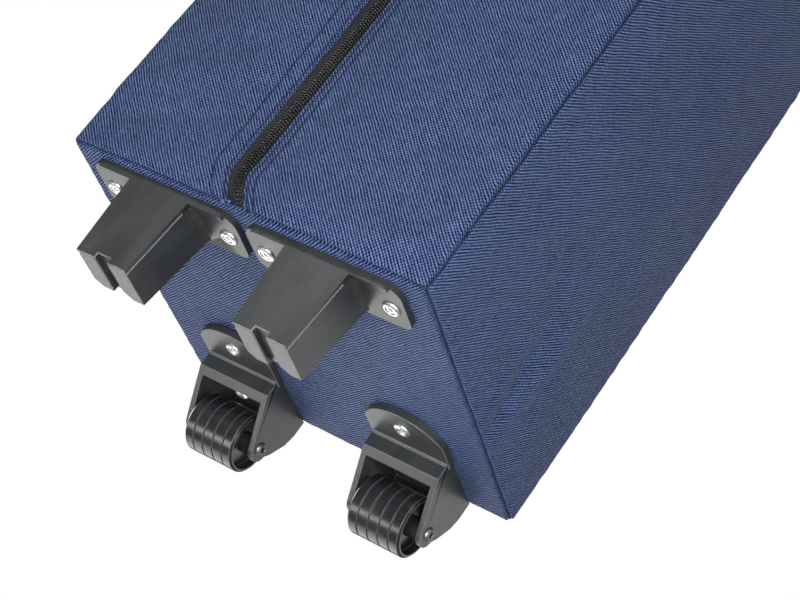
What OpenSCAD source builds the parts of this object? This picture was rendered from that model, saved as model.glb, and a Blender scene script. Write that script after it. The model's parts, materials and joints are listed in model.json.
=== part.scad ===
// Two-wheeled shopping trolley: a square fabric bag on two moulded feet and
// two roller brackets, with a full-length front zip and a telescopic handle.
// +Z is up, -Y is the zipped front, the origin is on the ground below the middle.

/* [Bag] */
// Width of the bag, left to right
bag_w = 250; // [220:5:300]
// Depth of the bag, front to back
bag_d = 250; // [225:5:300]
// Height of the fabric body
bag_h = 480; // [420:10:560]
// Thickness of a fabric panel with its backing
fabric_t = 1.5; // [1:0.1:2]
// Radius of the upright edges
edge_r = 9; // [8:1:16]
// Height of the fabric body above the ground
ground_gap = 58; // [52:1:66]

/* [Zip] */
// Place of the zip across the front
zip_x = -14; // [-30:1:30]
// Width of tape that shows between the two front panels
zip_window = 14; // [13:0.5:18]
// Width of the closed coil
coil_w = 7.4; // [6:0.1:9]
// Height of the coil above its tape
coil_t = 2.4; // [1.8:0.1:3]
// Slot between the two halves of the zip
coil_split = 1.2; // [1:0.1:1.6]
// Width of one tape
tape_w = 15; // [12:1:18]
// Thickness of one tape
tape_t = 0.8; // [0.6:0.1:1]
// Length of the slider
slider_l = 14; // [12:1:18]
// Travel of the slider from closed to open
zip_travel = 420; // [360:10:430]

/* [Inside boards] */
// Thickness of the base board
base_t = 3; // [2:0.5:5]
// Thickness of the sheet that stiffens the back
back_t = 1.5; // [1:0.5:3]
// Gap between a board's edge and the fabric around it
board_gap = 1.5; // [1:0.5:4]

/* [Feet] */
// Distance of each foot's middle from the middle of the bag
foot_x = 56; // [54:1:60]
// Length of a foot's flange, left to right
flange_l = 105; // [96:1:106]
// Depth of a foot's flange, front to back
flange_d = 37; // [34:1:42]
// Thickness of the flange at its ears
flange_t = 4; // [3:0.5:5]
// Distance from the front of the bag to the flange
flange_inset = 6; // [4:1:10]
// Height of the stiffening lip along the flange's front edge
lip_h = 1.5; // [1:0.5:2]
// Width of that lip
lip_w = 3; // [2:0.5:4]
// Width of the leg at the flange
leg_w = 44; // [40:1:48]
// Width of the leg at the ground
leg_tip_w = 36; // [30:1:40]
// Depth of the leg at the ground
leg_tip_d = 32.5; // [28:0.5:34]
// Wall of the hollow leg
leg_wall = 3; // [2.5:0.5:4]
// Width of the slot that parts the two pads at the ground
pad_slot_w = 9; // [6:0.5:11]
// Depth of that slot
pad_slot_d = 3.5; // [2:0.5:4]

/* [Rollers] */
// Distance of each roller's middle outside the tube above it
wheel_offset = 11; // [9:1:16]
// Diameter of a roller
wheel_d = 40; // [36:1:44]
// Width of a roller across its rims
wheel_w = 39.5; // [34:0.5:42]
// Radius of the axle
axle_r = 3; // [2.5:0.25:3.5]
// Running clearance of the roller on its axle, on the radius
axle_play = 0.06; // [0.03:0.01:0.1]
// Number of grooves round a roller
groove_n = 4; // [2:1:6]
// Inside width of a bracket
bracket_inner_w = 48.4; // [46:0.2:52]
// Thickness of a bracket's side plate
plate_t = 3.8; // [3:0.2:4.5]
// Thickness of a bracket's base
bracket_t = 5; // [4:0.5:6]
// Distance from the axle to the back of the bag
axle_inset = 24.5; // [24:0.5:32]

/* [Rivets] */
// Radius of a rivet's shank
rivet_r = 2.4; // [2:0.1:2.6]
// Radius of a rivet's head
rivet_head_r = 6; // [5:0.5:7]
// Height of a rivet's head
rivet_head_h = 1.8; // [1.2:0.1:2.4]
// Distance from each end of a foot's flange to its rivet
foot_rivet_inset = 10; // [9:0.5:12]

/* [Handle] */
// Distance between the two tubes
tube_gap = 110; // [100:2:120]
// Outer diameter of the fixed tubes
outer_tube_d = 19; // [18:0.5:20]
// Wall of the fixed tubes
outer_tube_wall = 0.8; // [0.6:0.1:1]
// Gap between a sliding tube and the fixed tube around it
tube_play = 1.2; // [1:0.1:1.6]
// Wall of the sliding tubes
inner_tube_wall = 0.9; // [0.7:0.1:1]
// Distance from the tubes' middle to the back of the bag
tube_inset = 19; // [18:1:24]
// How far the handle pulls out
handle_travel = 380; // [300:10:390]
// How far the grip reaches past each tube
grip_end = 10.5; // [10:0.5:16]
// Depth of the grip, front to back
grip_d = 26; // [24:1:30]
// Height of the grip
grip_h = 24; // [22:1:28]
// Free height between the collar and the grip
finger_gap = 24; // [20:1:30]
// Height of the collar above the bag
collar_h = 10; // [8:1:14]
// Travel of the release button
button_travel = 4; // [2:0.5:5]

/* [Carry loops] */
// Width of the webbing
web_w = 28; // [25:1:32]
// Thickness of the webbing
web_t = 2; // [1.5:0.5:2.5]
// Distance between the two ends of a loop, middle to middle
loop_span = 130; // [110:2:140]
// Height of a loop above the bag
loop_h = 62; // [50:1:80]
// Length of webbing that is sewn down at each end
loop_sewn = 70; // [50:5:90]

/* [Hidden] */
$fn = 64;
eps = 0.01;
slip = 0.1;                       // clearance of a piece in its seat
clear = 0.3;                      // clearance between pieces that move past each other

z_bag = ground_gap;
z_top = z_bag + bag_h;
front_y = -bag_d / 2;
back_y = bag_d / 2;
z_board = z_bag + fabric_t;       // underside of the base board
z_floor = z_board + base_t;       // top of the base board

flange_y = front_y + flange_inset;
foot_rivet_y = flange_y + 21;
foot_rivet_dx = flange_l / 2 - foot_rivet_inset;
axle_y = back_y - axle_inset;
axle_z = wheel_d / 2;
axle_drop = z_bag - axle_z;       // how far the axle hangs below the bag
wheel_x = tube_gap / 2 + wheel_offset;
bracket_w = bracket_inner_w + 2 * plate_t;
boss_r = 9;                       // radius of a side plate round the axle
mouth_y = axle_y - 31.5;          // front wall of the roller housing
mouth_drop = 15.5;                // height of that wall
bracket_front_y = mouth_y - 37.5; // tip of the half-moon flange
bracket_rivet_y = mouth_y - 20.5;
bracket_arc_r = bracket_w / 2 + 4;
rear_rivet_dx = bracket_inner_w / 2 - rivet_head_r - 0.7;
rear_rivet_y = back_y - 13;

tube_y = back_y - tube_inset;
tube_z = z_floor + 4;             // foot of the fixed tubes
outer_r = outer_tube_d / 2;
outer_bore_r = outer_r - outer_tube_wall;
inner_r = outer_bore_r - tube_play;
inner_bore_r = inner_r - inner_tube_wall;
collar_top = z_top + collar_h;
grip_z = collar_top + finger_gap;
grip_mid = grip_z + grip_h / 2;
grip_top = grip_z + grip_h;
grip_l = tube_gap + 2 * (inner_r + grip_end);
inner_z = tube_z + 36;            // foot of the sliding tubes
plug_h = 30;                      // plug in the foot of a sliding tube
pin_z = inner_z - 12;             // height of the lock pins
pin_r = 2.5;
rod_r = 1.6;
pin_reach = sqrt(pow(outer_bore_r - slip, 2) - pow(pin_r, 2));
link_t = 2.5;
link_z = grip_mid + 3;            // underside of the link bar
inner_top = link_z - button_travel - 0.5;
button_l = 34;
button_d = 13;

coil_y = front_y + fabric_t;      // plane of the tapes' front
slider_z = z_top - 22;            // middle of the closed slider
slider_top_y = coil_y - coil_t - clear;
hinge_y = slider_top_y - 4.1;
hinge_z = slider_z + 2;
ear_r = 1.7;
pull_l = 32;
// The bag stands this far back, so that the origin is midway between the pull and the rear loop
mid_y = (front_y - hinge_y + ear_r - web_t) / 2;

foot_rivets_xy = [for (s = [-1, 1]) for (e = [-1, 1]) [s * foot_x + e * foot_rivet_dx, foot_rivet_y]];
bracket_rivets_xy = [for (s = [-1, 1]) for (p = [[0, bracket_rivet_y], [rear_rivet_dx, rear_rivet_y]])
    [s * (wheel_x + p[0]), p[1]]];
all_rivets_xy = concat(foot_rivets_xy, bracket_rivets_xy);

// ---------- shared shapes ----------

// Rectangle with round corners, centred
module round_rect(w, d, r) {
    for (a = [0, 90]) rotate(a) square(a == 0 ? [w, d - 2 * r] : [d, w - 2 * r], center = true);
    for (x = [-1, 1]) for (y = [-1, 1]) translate([x * (w / 2 - r), y * (d / 2 - r)]) circle(r);
}

module drill(points, r, z, h) {
    for (p = points) translate([p[0], p[1], z - eps]) cylinder(r = r, h = h + 2 * eps);
}

// Ring of fabric round the bag, seen from above
module bag_ring() {
    difference() {
        round_rect(bag_w, bag_d, edge_r);
        round_rect(bag_w - 2 * fabric_t, bag_d - 2 * fabric_t, edge_r - fabric_t);
    }
}

// Part of the ring inside the rectangle from [x0, y0] to [x1, y1]
module ring_part(x0, y0, x1, y1) {
    translate([0, 0, z_bag]) linear_extrude(bag_h) intersection() {
        bag_ring();
        translate([x0, y0]) square([x1 - x0, y1 - y0]);
    }
}

// ---------- fabric ----------

module front_panel(side) {
    window = zip_x + side * zip_window / 2;
    outer = side * bag_w / 2;
    color([0.16, 0.22, 0.40])
        ring_part(min(window, outer), front_y, max(window, outer), front_y + edge_r);
}

module side_panel(side) {
    x = side * bag_w / 2;
    color([0.14, 0.20, 0.37])
        ring_part(min(0, x), front_y + edge_r, max(0, x), back_y - edge_r);
}

module back_panel() {
    color([0.15, 0.21, 0.38]) ring_part(-bag_w / 2, back_y - edge_r, bag_w / 2, back_y);
}

module end_panel(z) {
    translate([0, 0, z]) linear_extrude(fabric_t)
        round_rect(bag_w - 2 * fabric_t, bag_d - 2 * fabric_t, edge_r - fabric_t);
}

module bottom_panel() {
    color([0.17, 0.23, 0.42]) difference() {
        end_panel(z_bag);
        drill(all_rivets_xy, rivet_r + slip, z_bag, fabric_t);
    }
}

module top_panel() {
    z = z_top - fabric_t;
    color([0.17, 0.23, 0.42]) difference() {
        end_panel(z);
        for (x = [-1, 1]) translate([x * tube_gap / 2, tube_y, z - eps])
            cylinder(r = outer_r + 3 + slip, h = fabric_t + 2 * eps);
        drill(collar_screw_xy(), 1.5 + slip, z, fabric_t);
    }
}

// Webbing loop: two sewn legs joined by half a ring
module carry_loop(y) {
    bend_r = loop_span / 2;
    rise = loop_h - web_w / 2;
    color([0.05, 0.06, 0.10]) translate([0, y + web_t, z_top]) rotate([90, 0, 0]) linear_extrude(web_t) {
        for (x = [-1, 1]) translate([x * bend_r - web_w / 2, -loop_sewn]) square([web_w, loop_sewn + eps]);
        intersection() {
            difference() {
                scale_ring(bend_r + web_w / 2, rise + web_w / 2);
                scale_ring(bend_r - web_w / 2, rise - web_w / 2);
            }
            translate([-bend_r - web_w, 0]) square([2 * (bend_r + web_w), rise + web_w]);
        }
    }
}

// Half-ellipse outline with its middle at the origin
module scale_ring(a, b) {
    polygon([for (i = [0:47]) [a * cos(i * 7.5), b * sin(i * 7.5)]]);
}

// ---------- zip ----------

module zip_tape(side) {
    x0 = zip_x + side * coil_split / 2;
    color([0.04, 0.04, 0.05]) translate([min(x0, x0 + side * tape_w), coil_y, z_bag + fabric_t])
        cube([tape_w, tape_t, bag_h - 2 * fabric_t]);
}

module zip_coil(side) {
    w = (coil_w - coil_split) / 2;
    x0 = zip_x + side * coil_split / 2;
    color([0.03, 0.03, 0.04]) translate([min(x0, x0 + side * w), coil_y - coil_t, z_bag + 4])
        cube([w, coil_t, bag_h - 12]);
}

module zip_end_stops() {
    color([0.55, 0.56, 0.58]) for (side = [-1, 1]) for (z = [z_bag + 1.5, z_top - 7.8])
        translate([zip_x + side * 2.4 - 1.5, coil_y - coil_t, z]) cube([3, coil_t, z < z_bag + 9 ? 2.4 : 3.6]);
}

module zip_slider() {
    half = coil_w / 2 + clear;
    wall = 1.2;
    plate = 1.3;
    under_y = coil_y + tape_t + clear;
    web = coil_split - 0.4;
    color([0.10, 0.10, 0.11]) translate([zip_x, 0, slider_z]) difference() {
        union() {
            // plate over the coil, with a rim down each side of it
            translate([-half - wall, slider_top_y - plate, -slider_l / 2]) cube([2 * (half + wall), plate, slider_l]);
            for (s = [-1, 1]) translate([s * (half + wall / 2) - wall / 2, slider_top_y - eps, -slider_l / 2])
                cube([wall, coil_t, slider_l]);
            // plate behind the tapes and the web that joins the two
            translate([-half - wall, under_y, -slider_l / 2]) cube([2 * (half + wall), plate, slider_l]);
            translate([-web / 2, slider_top_y - eps, 1]) cube([web, under_y - slider_top_y + 2 * eps, 5]);
            // ears that carry the pull
            for (s = [-1, 1]) translate([s * 3.1 - 0.7, hinge_y - ear_r, hinge_z - slider_z - 2])
                cube([1.4, slider_top_y - plate - hinge_y + ear_r + eps, 4]);
        }
        translate([-6, hinge_y, hinge_z - slider_z]) rotate([0, 90, 0]) cylinder(r = 0.9, h = 12);
    }
}

module zip_pull() {
    color([0.10, 0.10, 0.11]) translate([zip_x, hinge_y, hinge_z]) {
        rotate([0, 90, 0]) translate([0, 0, -3.8]) cylinder(r = 0.84, h = 7.6);
        rotate([0, 90, 0]) translate([0, 0, -2.1]) cylinder(r = 1.5, h = 4.2);
        difference() {
            translate([0, 0.7, 0]) rotate([90, 0, 0]) linear_extrude(1.4) {
                translate([-2.1, -6]) square([4.2, 6]);
                translate([0, -pull_l + 3.8]) circle(3.8);
                translate([-3.8, -pull_l + 3.8]) square([7.6, pull_l - 9.8]);
            }
            translate([0, 0, -pull_l + 5]) rotate([90, 0, 0]) cylinder(r = 1.8, h = 4, center = true);
        }
    }
}

// ---------- boards inside the bag ----------

board_w = bag_w - 2 * (fabric_t + board_gap);
board_d = bag_d - 2 * (fabric_t + board_gap);

module base_board() {
    color([0.12, 0.12, 0.13]) difference() {
        translate([0, 0, z_board]) linear_extrude(base_t) round_rect(board_w, board_d, edge_r - fabric_t);
        drill(all_rivets_xy, rivet_r + slip, z_board, base_t);
        drill(socket_screw_xy(), 1.5 + slip, z_board, base_t);
    }
}

module back_board() {
    w = bag_w - 2 * edge_r - 2 * board_gap;
    color([0.20, 0.20, 0.21]) translate([-w / 2, back_y - fabric_t - back_t, z_floor + 0.5])
        cube([w, back_t, bag_h - 2 * fabric_t - base_t - 3]);
}

// ---------- feet ----------

module leg_outline(w, tip_w, top, tip) {
    polygon([[-w / 2, top], [w / 2, top], [tip_w / 2, tip], [-tip_w / 2, tip]]);
}

// Tapered block: the width narrows on both sides, the depth only from behind
module leg_block(w, tip_w, d, tip_d, inset, tip) {
    intersection() {
        translate([0, flange_y + flange_d + 1, 0]) rotate([90, 0, 0]) linear_extrude(flange_d + 2)
            leg_outline(w, tip_w, z_bag, tip);
        translate([-w / 2 - 1, 0, 0]) rotate([90, 0, 90]) linear_extrude(w + 2)
            polygon([[flange_y + inset, z_bag], [flange_y + d, z_bag], [flange_y + tip_d, tip],
                [flange_y + inset, tip]]);
    }
}

module flange_outline() {
    corner_r = 10;
    back_r = 6;
    hx = flange_l / 2;
    translate([-hx + corner_r, 0]) square([flange_l - 2 * corner_r, flange_d]);
    translate([-hx, corner_r]) square([flange_l, flange_d - corner_r - back_r]);
    for (s = [-1, 1]) {
        translate([s * (hx - corner_r), corner_r]) circle(corner_r);
        translate([s * (hx - back_r), flange_d - back_r]) circle(back_r);
    }
    translate([-hx + back_r, flange_d - back_r - eps]) square([flange_l - 2 * back_r, back_r + eps]);
}

module foot(side) {
    leg_d = flange_d - 0.5;
    step = 1.4;
    gusset = 7;
    color([0.13, 0.135, 0.14]) translate([side * foot_x, 0, 0]) difference() {
        union() {
            translate([0, flange_y, z_bag - flange_t]) linear_extrude(flange_t) flange_outline();
            // lip along the front edge of the flange
            translate([0, flange_y, z_bag - flange_t - lip_h]) linear_extrude(lip_h + eps) intersection() {
                flange_outline();
                translate([-flange_l / 2 + 7, 0]) square([flange_l - 14, lip_w]);
            }
            // front plate of the leg and the narrower box behind it
            leg_block(leg_w, leg_tip_w, lip_w, lip_w, 0, 0);
            leg_block(leg_w - 0.5, leg_tip_w - 0.5, leg_d, leg_tip_d, 0.4, 0);
            // gussets between the leg and the ears
            for (s = [-1, 1]) translate([0, flange_y + flange_d - 3, 0]) rotate([90, 0, 0]) linear_extrude(flange_d - 7)
                polygon([[s * (leg_w / 2 - 3), z_bag - flange_t + eps], [s * (leg_w / 2 + 2.2), z_bag - flange_t + eps],
                    [s * (leg_w / 2 - 3), z_bag - flange_t - gusset]]);
        }
        // groove down each front corner, behind the front plate
        for (s = [-1, 1]) groove_prism(s, step);
        // the leg is hollow from above
        intersection() {
            leg_block(leg_w - 2 * leg_wall, leg_tip_w - 2 * leg_wall, leg_d - leg_wall, leg_tip_d - leg_wall,
                leg_wall, 0);
            translate([-leg_w, flange_y, 8]) cube([2 * leg_w, flange_d, z_bag]);
        }
        // slot between the two pads
        translate([-pad_slot_w / 2, flange_y - 1, -eps]) cube([pad_slot_w, flange_d + 2, pad_slot_d]);
        // cut-off back corner of each pad
        for (s = [-1, 1]) translate([s < 0 ? -leg_tip_w / 2 : pad_slot_w / 2, flange_y + leg_tip_d, -eps]) rotate(45)
            cube([8, 8, 2 * pad_slot_d], center = true);
        drill([for (e = [-1, 1]) [e * foot_rivet_dx, foot_rivet_y]], rivet_r + slip, z_bag - flange_t, flange_t);
    }
}

// Thin slanted slot that leaves a shadow line between the front plate and a side wall
module groove_prism(s, step) {
    slant = atan2((leg_w - leg_tip_w) / 2, z_bag);
    translate([s * leg_tip_w / 2, flange_y + lip_w - 0.9, 0]) rotate([0, s * slant, 0])
        translate([-0.9, 0, -2]) cube([1.8, step, z_bag - flange_t - lip_h - 4]);
}

// ---------- rivets ----------

// Tubular rivet standing on z = 0 with its head below: shank, rolled head, hole
module rivet(grip) {
    hole_r = 1.3;
    rotate_extrude() {
        translate([hole_r, -eps]) square([rivet_r - hole_r, grip + 2 * eps]);
        polygon([[hole_r, 0], [rivet_head_r, 0], [rivet_head_r - 0.4, -0.9], [rivet_head_r - 2, -rivet_head_h],
            [rivet_head_r - 2.6, -rivet_head_h], [rivet_head_r - 3.2, -rivet_head_h + 0.7], [hole_r + 0.9, -rivet_head_h + 0.7],
            [hole_r, -rivet_head_h + 1.1]]);
        // rolled end inside the bag
        polygon([[hole_r, grip], [rivet_r + 1.3, grip], [rivet_r + 1, grip + 1.1], [hole_r, grip + 1.6]]);
    }
}

washer_t = 1;

module foot_rivets() {
    color([0.78, 0.79, 0.80]) for (p = foot_rivets_xy) translate([p[0], p[1], z_bag - flange_t])
        rivet(flange_t + fabric_t + base_t + washer_t);
}

module bracket_rivets() {
    color([0.78, 0.79, 0.80]) for (p = bracket_rivets_xy) translate([p[0], p[1], z_bag - bracket_t])
        rivet(bracket_t + fabric_t + base_t + washer_t);
}

module rivet_washers() {
    color([0.70, 0.71, 0.72]) for (p = all_rivets_xy) translate([p[0], p[1], z_floor]) difference() {
        cylinder(r = rivet_head_r, h = washer_t);
        translate([0, 0, -eps]) cylinder(r = rivet_r + slip, h = washer_t + 2 * eps);
    }
}

// ---------- roller brackets ----------

// Side view of a side plate, in Y and Z
module plate_outline() {
    run = [axle_y - mouth_y, -(axle_drop - mouth_drop)];
    reach = norm(run);
    lean = atan2(-run[1], run[0]) + asin(boss_r / reach);
    touch = [axle_y - boss_r * sin(lean), axle_z - boss_r * cos(lean)];
    tail = axle_inset - 1;
    polygon([[mouth_y, z_bag], [mouth_y, z_bag - mouth_drop], touch, [axle_y + 1.5, axle_z - boss_r * 0.98],
        [axle_y + 13, axle_z + 3.5], [axle_y + 21, axle_z + 16.5], [axle_y + tail, z_bag - 12],
        [axle_y + tail, z_bag]]);
    translate([axle_y, axle_z]) circle(boss_r);
}

module plate_slice(x, t) {
    translate([x - t / 2, 0, 0]) rotate([90, 0, 90]) linear_extrude(t) plate_outline();
}

module bracket(side) {
    front_wall_t = 4.2;
    rear_wall_t = 3;
    arc_y = bracket_front_y + bracket_arc_r;
    color([0.07, 0.07, 0.075]) translate([side * wheel_x, 0, 0]) difference() {
        union() {
            for (s = [-1, 1]) plate_slice(s * (bracket_w - plate_t) / 2, plate_t);
            // front and rear walls of the housing, cut to the side plates' outline
            intersection() {
                plate_slice(0, bracket_w - plate_t);
                union() {
                    translate([-bracket_w / 2, mouth_y - 1, axle_z]) cube([bracket_w, front_wall_t + 1, axle_drop]);
                    translate([-bracket_w / 2, axle_y + axle_inset - 1 - rear_wall_t, z_bag - 11])
                        cube([bracket_w, rear_wall_t + 1, 11]);
                }
            }
            // base with the half-moon flange in front
            translate([0, 0, z_bag - bracket_t]) linear_extrude(bracket_t) {
                intersection() {
                    translate([0, arc_y]) circle(bracket_arc_r, $fn = 96);
                    translate([-bracket_w / 2 - 1, bracket_front_y]) square([bracket_w + 2, mouth_y - bracket_front_y + 4]);
                }
                translate([-bracket_w / 2, mouth_y]) square([bracket_w, axle_y + axle_inset - 1 - mouth_y]);
            }
            // ridge where the flange meets the housing
            translate([-bracket_w / 2, mouth_y - 1.6, z_bag - bracket_t - 1]) cube([bracket_w, 3, 2]);
        }
        translate([-bracket_w, axle_y, axle_z]) rotate([0, 90, 0]) cylinder(r = axle_r + slip / 2, h = 2 * bracket_w);
        drill([[0, bracket_rivet_y], [side * rear_rivet_dx, rear_rivet_y]], rivet_r + slip, z_bag - bracket_t, bracket_t);
    }
}

// ---------- rollers and axles ----------

module wheel(side) {
    r = wheel_d / 2;
    hw = wheel_w / 2;
    hub_hw = bracket_inner_w / 2 - clear;
    hub_r = axle_r + 4;
    rim_t = 2.6;
    recess = 6;
    groove = 1;
    pitch = wheel_w / (groove_n + 1);
    round_r = 1.5;
    color([0.05, 0.05, 0.055]) translate([side * wheel_x, axle_y, axle_z]) rotate([0, 90, 0]) rotate_extrude($fn = 96)
        difference() {
            union() {
                polygon([[axle_r + axle_play, -hub_hw], [hub_r, -hub_hw], [hub_r, -hw + recess], [r - rim_t, -hw + recess],
                    [r - rim_t, -hw], [r - round_r, -hw], [r, -hw + round_r], [r, hw - round_r], [r - round_r, hw],
                    [r - rim_t, hw], [r - rim_t, hw - recess], [hub_r, hw - recess], [hub_r, hub_hw],
                    [axle_r + axle_play, hub_hw]]);
            }
            for (i = [1:groove_n]) translate([r - groove, -hw + i * pitch - groove / 2]) square([groove + 1, groove]);
        }
}

module axle(side) {
    reach = bracket_w / 2;
    head_r = axle_r + 1.8;
    hole_r = axle_r - 1;
    color([0.72, 0.73, 0.74]) translate([side * wheel_x, axle_y, axle_z]) rotate([0, 90, 0]) rotate_extrude()
        polygon([[0, -reach - 1.8], [head_r - 1.4, -reach - 1.8], [head_r, -reach - 0.6], [head_r, -reach - 0.05],
            [axle_r, -reach - 0.05], [axle_r, reach + 0.05], [head_r, reach + 0.05], [head_r - 0.3, reach + 1],
            [axle_r, reach + 2.2], [hole_r, reach + 1.6], [hole_r, reach - 6], [0, reach - 6]]);
}

// ---------- telescopic handle ----------

function socket_screw_xy() = [for (x = [-1, 1]) [x * 22, tube_y - 8]];
function collar_screw_xy() = [for (x = [-1, 1]) [x * 26, tube_y]];

module at_tubes() {
    for (x = [-1, 1]) translate([x * tube_gap / 2, tube_y, 0]) children();
}

// Pan-head screw standing on z = 0, pointing down
module screw(length, r = 1.5) {
    cylinder(r = r, h = length + 0.5);
    translate([0, 0, length]) difference() {
        cylinder(r = 2 * r, h = 1.6);
        for (a = [0, 90]) rotate(a) translate([-r * 1.4, -0.4, 0.8]) cube([r * 2.8, 0.8, 1]);
    }
}

module tube_socket() {
    wall = 3;
    h = 40;
    color([0.09, 0.09, 0.10]) difference() {
        union() {
            translate([0, tube_y, z_floor]) linear_extrude(3) round_rect(tube_gap + 2 * (outer_r + wall), 28, 5);
            at_tubes() translate([0, 0, z_floor]) cylinder(r = outer_r + wall, h = h);
            translate([-tube_gap / 2, tube_y - 2, z_floor]) cube([tube_gap, 4, h - 12]);
        }
        at_tubes() translate([0, 0, tube_z]) cylinder(r = outer_r + slip, h = h);
        drill(socket_screw_xy(), 1.5 + slip, z_floor, 3);
    }
}

module socket_screws() {
    color([0.6, 0.6, 0.62]) for (p = socket_screw_xy()) translate([p[0], p[1], z_board + 0.2])
        screw(base_t + 3 - 0.2);
}

module outer_tube(side) {
    lock_z = pin_z + handle_travel;
    color([0.62, 0.63, 0.65]) translate([side * tube_gap / 2, tube_y, 0]) difference() {
        translate([0, 0, tube_z]) cylinder(r = outer_r, h = z_top - tube_z + 2);
        translate([0, 0, tube_z - eps]) cylinder(r = outer_bore_r, h = z_top - tube_z + 3);
        translate([0, 0, lock_z]) rotate([0, side * 90, 0]) cylinder(r = pin_r + 0.4, h = outer_tube_d);
    }
}

module collar_plan(shrink) {
    translate([0, tube_y]) round_rect(tube_gap + 2 * (outer_r + 7) - shrink, 2 * (tube_inset - 2) - shrink, 10 - shrink / 2);
}

module handle_collar() {
    spigot_h = 18;
    color([0.08, 0.08, 0.085]) difference() {
        union() {
            translate([0, 0, z_top]) linear_extrude(collar_h - 2) collar_plan(0);
            translate([0, 0, collar_top - 2 - eps]) linear_extrude(2 + eps) collar_plan(3);
            at_tubes() translate([0, 0, z_top - spigot_h]) cylinder(r = outer_r + 3, h = spigot_h + eps);
        }
        at_tubes() translate([0, 0, z_top - spigot_h - 1]) cylinder(r = outer_r + slip, h = spigot_h + 3);
        at_tubes() translate([0, 0, z_top]) cylinder(r = inner_r + slip, h = collar_h + 1);
        drill(collar_screw_xy(), 1.5 + slip, z_top, collar_h);
        for (p = collar_screw_xy()) translate([p[0], p[1], collar_top - 3]) cylinder(r = 3.3, h = 4);
    }
}

module collar_backing() {
    z = z_top - fabric_t - 2;
    color([0.16, 0.16, 0.17]) difference() {
        translate([0, 0, z]) linear_extrude(2) collar_plan(3);
        at_tubes() translate([0, 0, z - 1]) cylinder(r = outer_r + 3 + slip, h = 4);
        drill(collar_screw_xy(), 1.3, z, 2);
    }
}

module collar_screws() {
    length = collar_h - 3 + fabric_t + 1.8;
    color([0.6, 0.6, 0.62]) for (p = collar_screw_xy()) translate([p[0], p[1], collar_top - 3 - length])
        screw(length, 1.29);
}

module inner_tube(side) {
    color([0.80, 0.81, 0.83]) translate([side * tube_gap / 2, tube_y, inner_z]) difference() {
        cylinder(r = inner_r, h = inner_top - inner_z);
        translate([0, 0, -eps]) cylinder(r = inner_bore_r, h = inner_top - inner_z + 2 * eps);
    }
}

// Plug in the foot of a sliding tube: runs in the fixed tube and guides a lock pin
module tube_plugs() {
    skirt = 22;
    color([0.10, 0.10, 0.11]) for (side = [-1, 1]) translate([side * tube_gap / 2, tube_y, inner_z]) difference() {
        union() {
            translate([0, 0, -skirt]) cylinder(r = outer_bore_r - slip, h = skirt);
            translate([0, 0, -eps]) cylinder(r = inner_bore_r - slip / 2, h = plug_h - skirt);
        }
        translate([0, 0, pin_z - inner_z]) cylinder(r = rod_r + 0.5, h = plug_h);
        translate([side * -3.4, 0, pin_z - inner_z]) rotate([0, side * 90, 0]) cylinder(r = pin_r + 0.05, h = outer_tube_d);
    }
}

module lock_pin(side) {
    color([0.72, 0.73, 0.74]) translate([side * tube_gap / 2, tube_y, pin_z]) rotate([0, side * 90, 0])
        cylinder(r = pin_r, h = pin_reach);
}

// Cross-section of the grip, in Y and Z about its middle
module grip_section(shrink) {
    round_rect(grip_d - shrink, grip_h - shrink, (grip_h - shrink) / 2 - 2);
}

module grip_solid(shrink, length) {
    translate([-length / 2, tube_y, grip_mid]) rotate([90, 0, 90]) linear_extrude(length) grip_section(shrink);
}

module grip_half(z0, z1) {
    intersection() {
        difference() {
            grip_solid(0, grip_l);
            grip_solid(6, grip_l - 8);
        }
        translate([-grip_l, 0, z0]) cube([2 * grip_l, back_y + grip_d, z1 - z0]);
    }
}

function grip_screw_xy() = [for (x = [-1, 1]) [x * (grip_l / 2 - 7.5), tube_y]];

module grip_lower() {
    color([0.08, 0.08, 0.085]) difference() {
        union() {
            grip_half(grip_z, grip_mid);
            intersection() {
                grip_solid(1, grip_l - 4);
                union() {
                    at_tubes() translate([0, 0, grip_z]) cylinder(r = inner_r + 2.5, h = inner_top - grip_z);
                    for (p = grip_screw_xy()) translate([p[0], p[1], grip_z]) cylinder(r = 3, h = grip_h / 2);
                    translate([-14, tube_y - 8, grip_z]) cube([28, 16, 4]);
                }
            }
        }
        at_tubes() translate([0, 0, grip_z - 1]) cylinder(r = inner_r + slip / 2, h = inner_top - grip_z + 3);
        for (p = grip_screw_xy()) translate([p[0], p[1], grip_z - 1]) cylinder(r = 1.3 + slip, h = grip_h);
        for (p = grip_screw_xy()) translate([p[0], p[1], grip_z - 1]) cylinder(r = 2.9, h = 3.4);
    }
}

module grip_upper() {
    color([0.09, 0.09, 0.095]) difference() {
        union() {
            grip_half(grip_mid, grip_top);
            intersection() {
                grip_solid(1, grip_l - 4);
                for (p = grip_screw_xy()) translate([p[0], p[1], grip_mid]) cylinder(r = 3, h = grip_h / 2);
            }
        }
        translate([0, tube_y, grip_top - 8]) linear_extrude(10) round_rect(button_l + 2 * clear, button_d + 2 * clear, 5);
        for (p = grip_screw_xy()) translate([p[0], p[1], grip_mid - 1]) cylinder(r = 1.31, h = 8);
    }
}

module grip_screws() {
    seat = grip_z + 2.4;
    color([0.55, 0.55, 0.57]) for (p = grip_screw_xy()) translate([p[0], p[1], 0]) {
        translate([0, 0, seat - 0.5]) cylinder(r = 1.3, h = grip_mid + 6.5 - seat);
        translate([0, 0, seat - 1.6]) difference() {
            cylinder(r = 2.7, h = 1.6);
            for (a = [0, 90]) rotate(a) translate([-1.8, -0.4, -0.2]) cube([3.6, 0.8, 1]);
        }
    }
}

module release_button() {
    stem_z = link_z + link_t;
    color([0.35, 0.36, 0.38]) {
        translate([0, tube_y, grip_top - 5]) linear_extrude(5 + button_travel + 0.6) round_rect(button_l, button_d, 4.8);
        translate([-8, tube_y - 3, stem_z]) cube([16, 6, grip_top - 5 - stem_z + eps]);
    }
}

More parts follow.
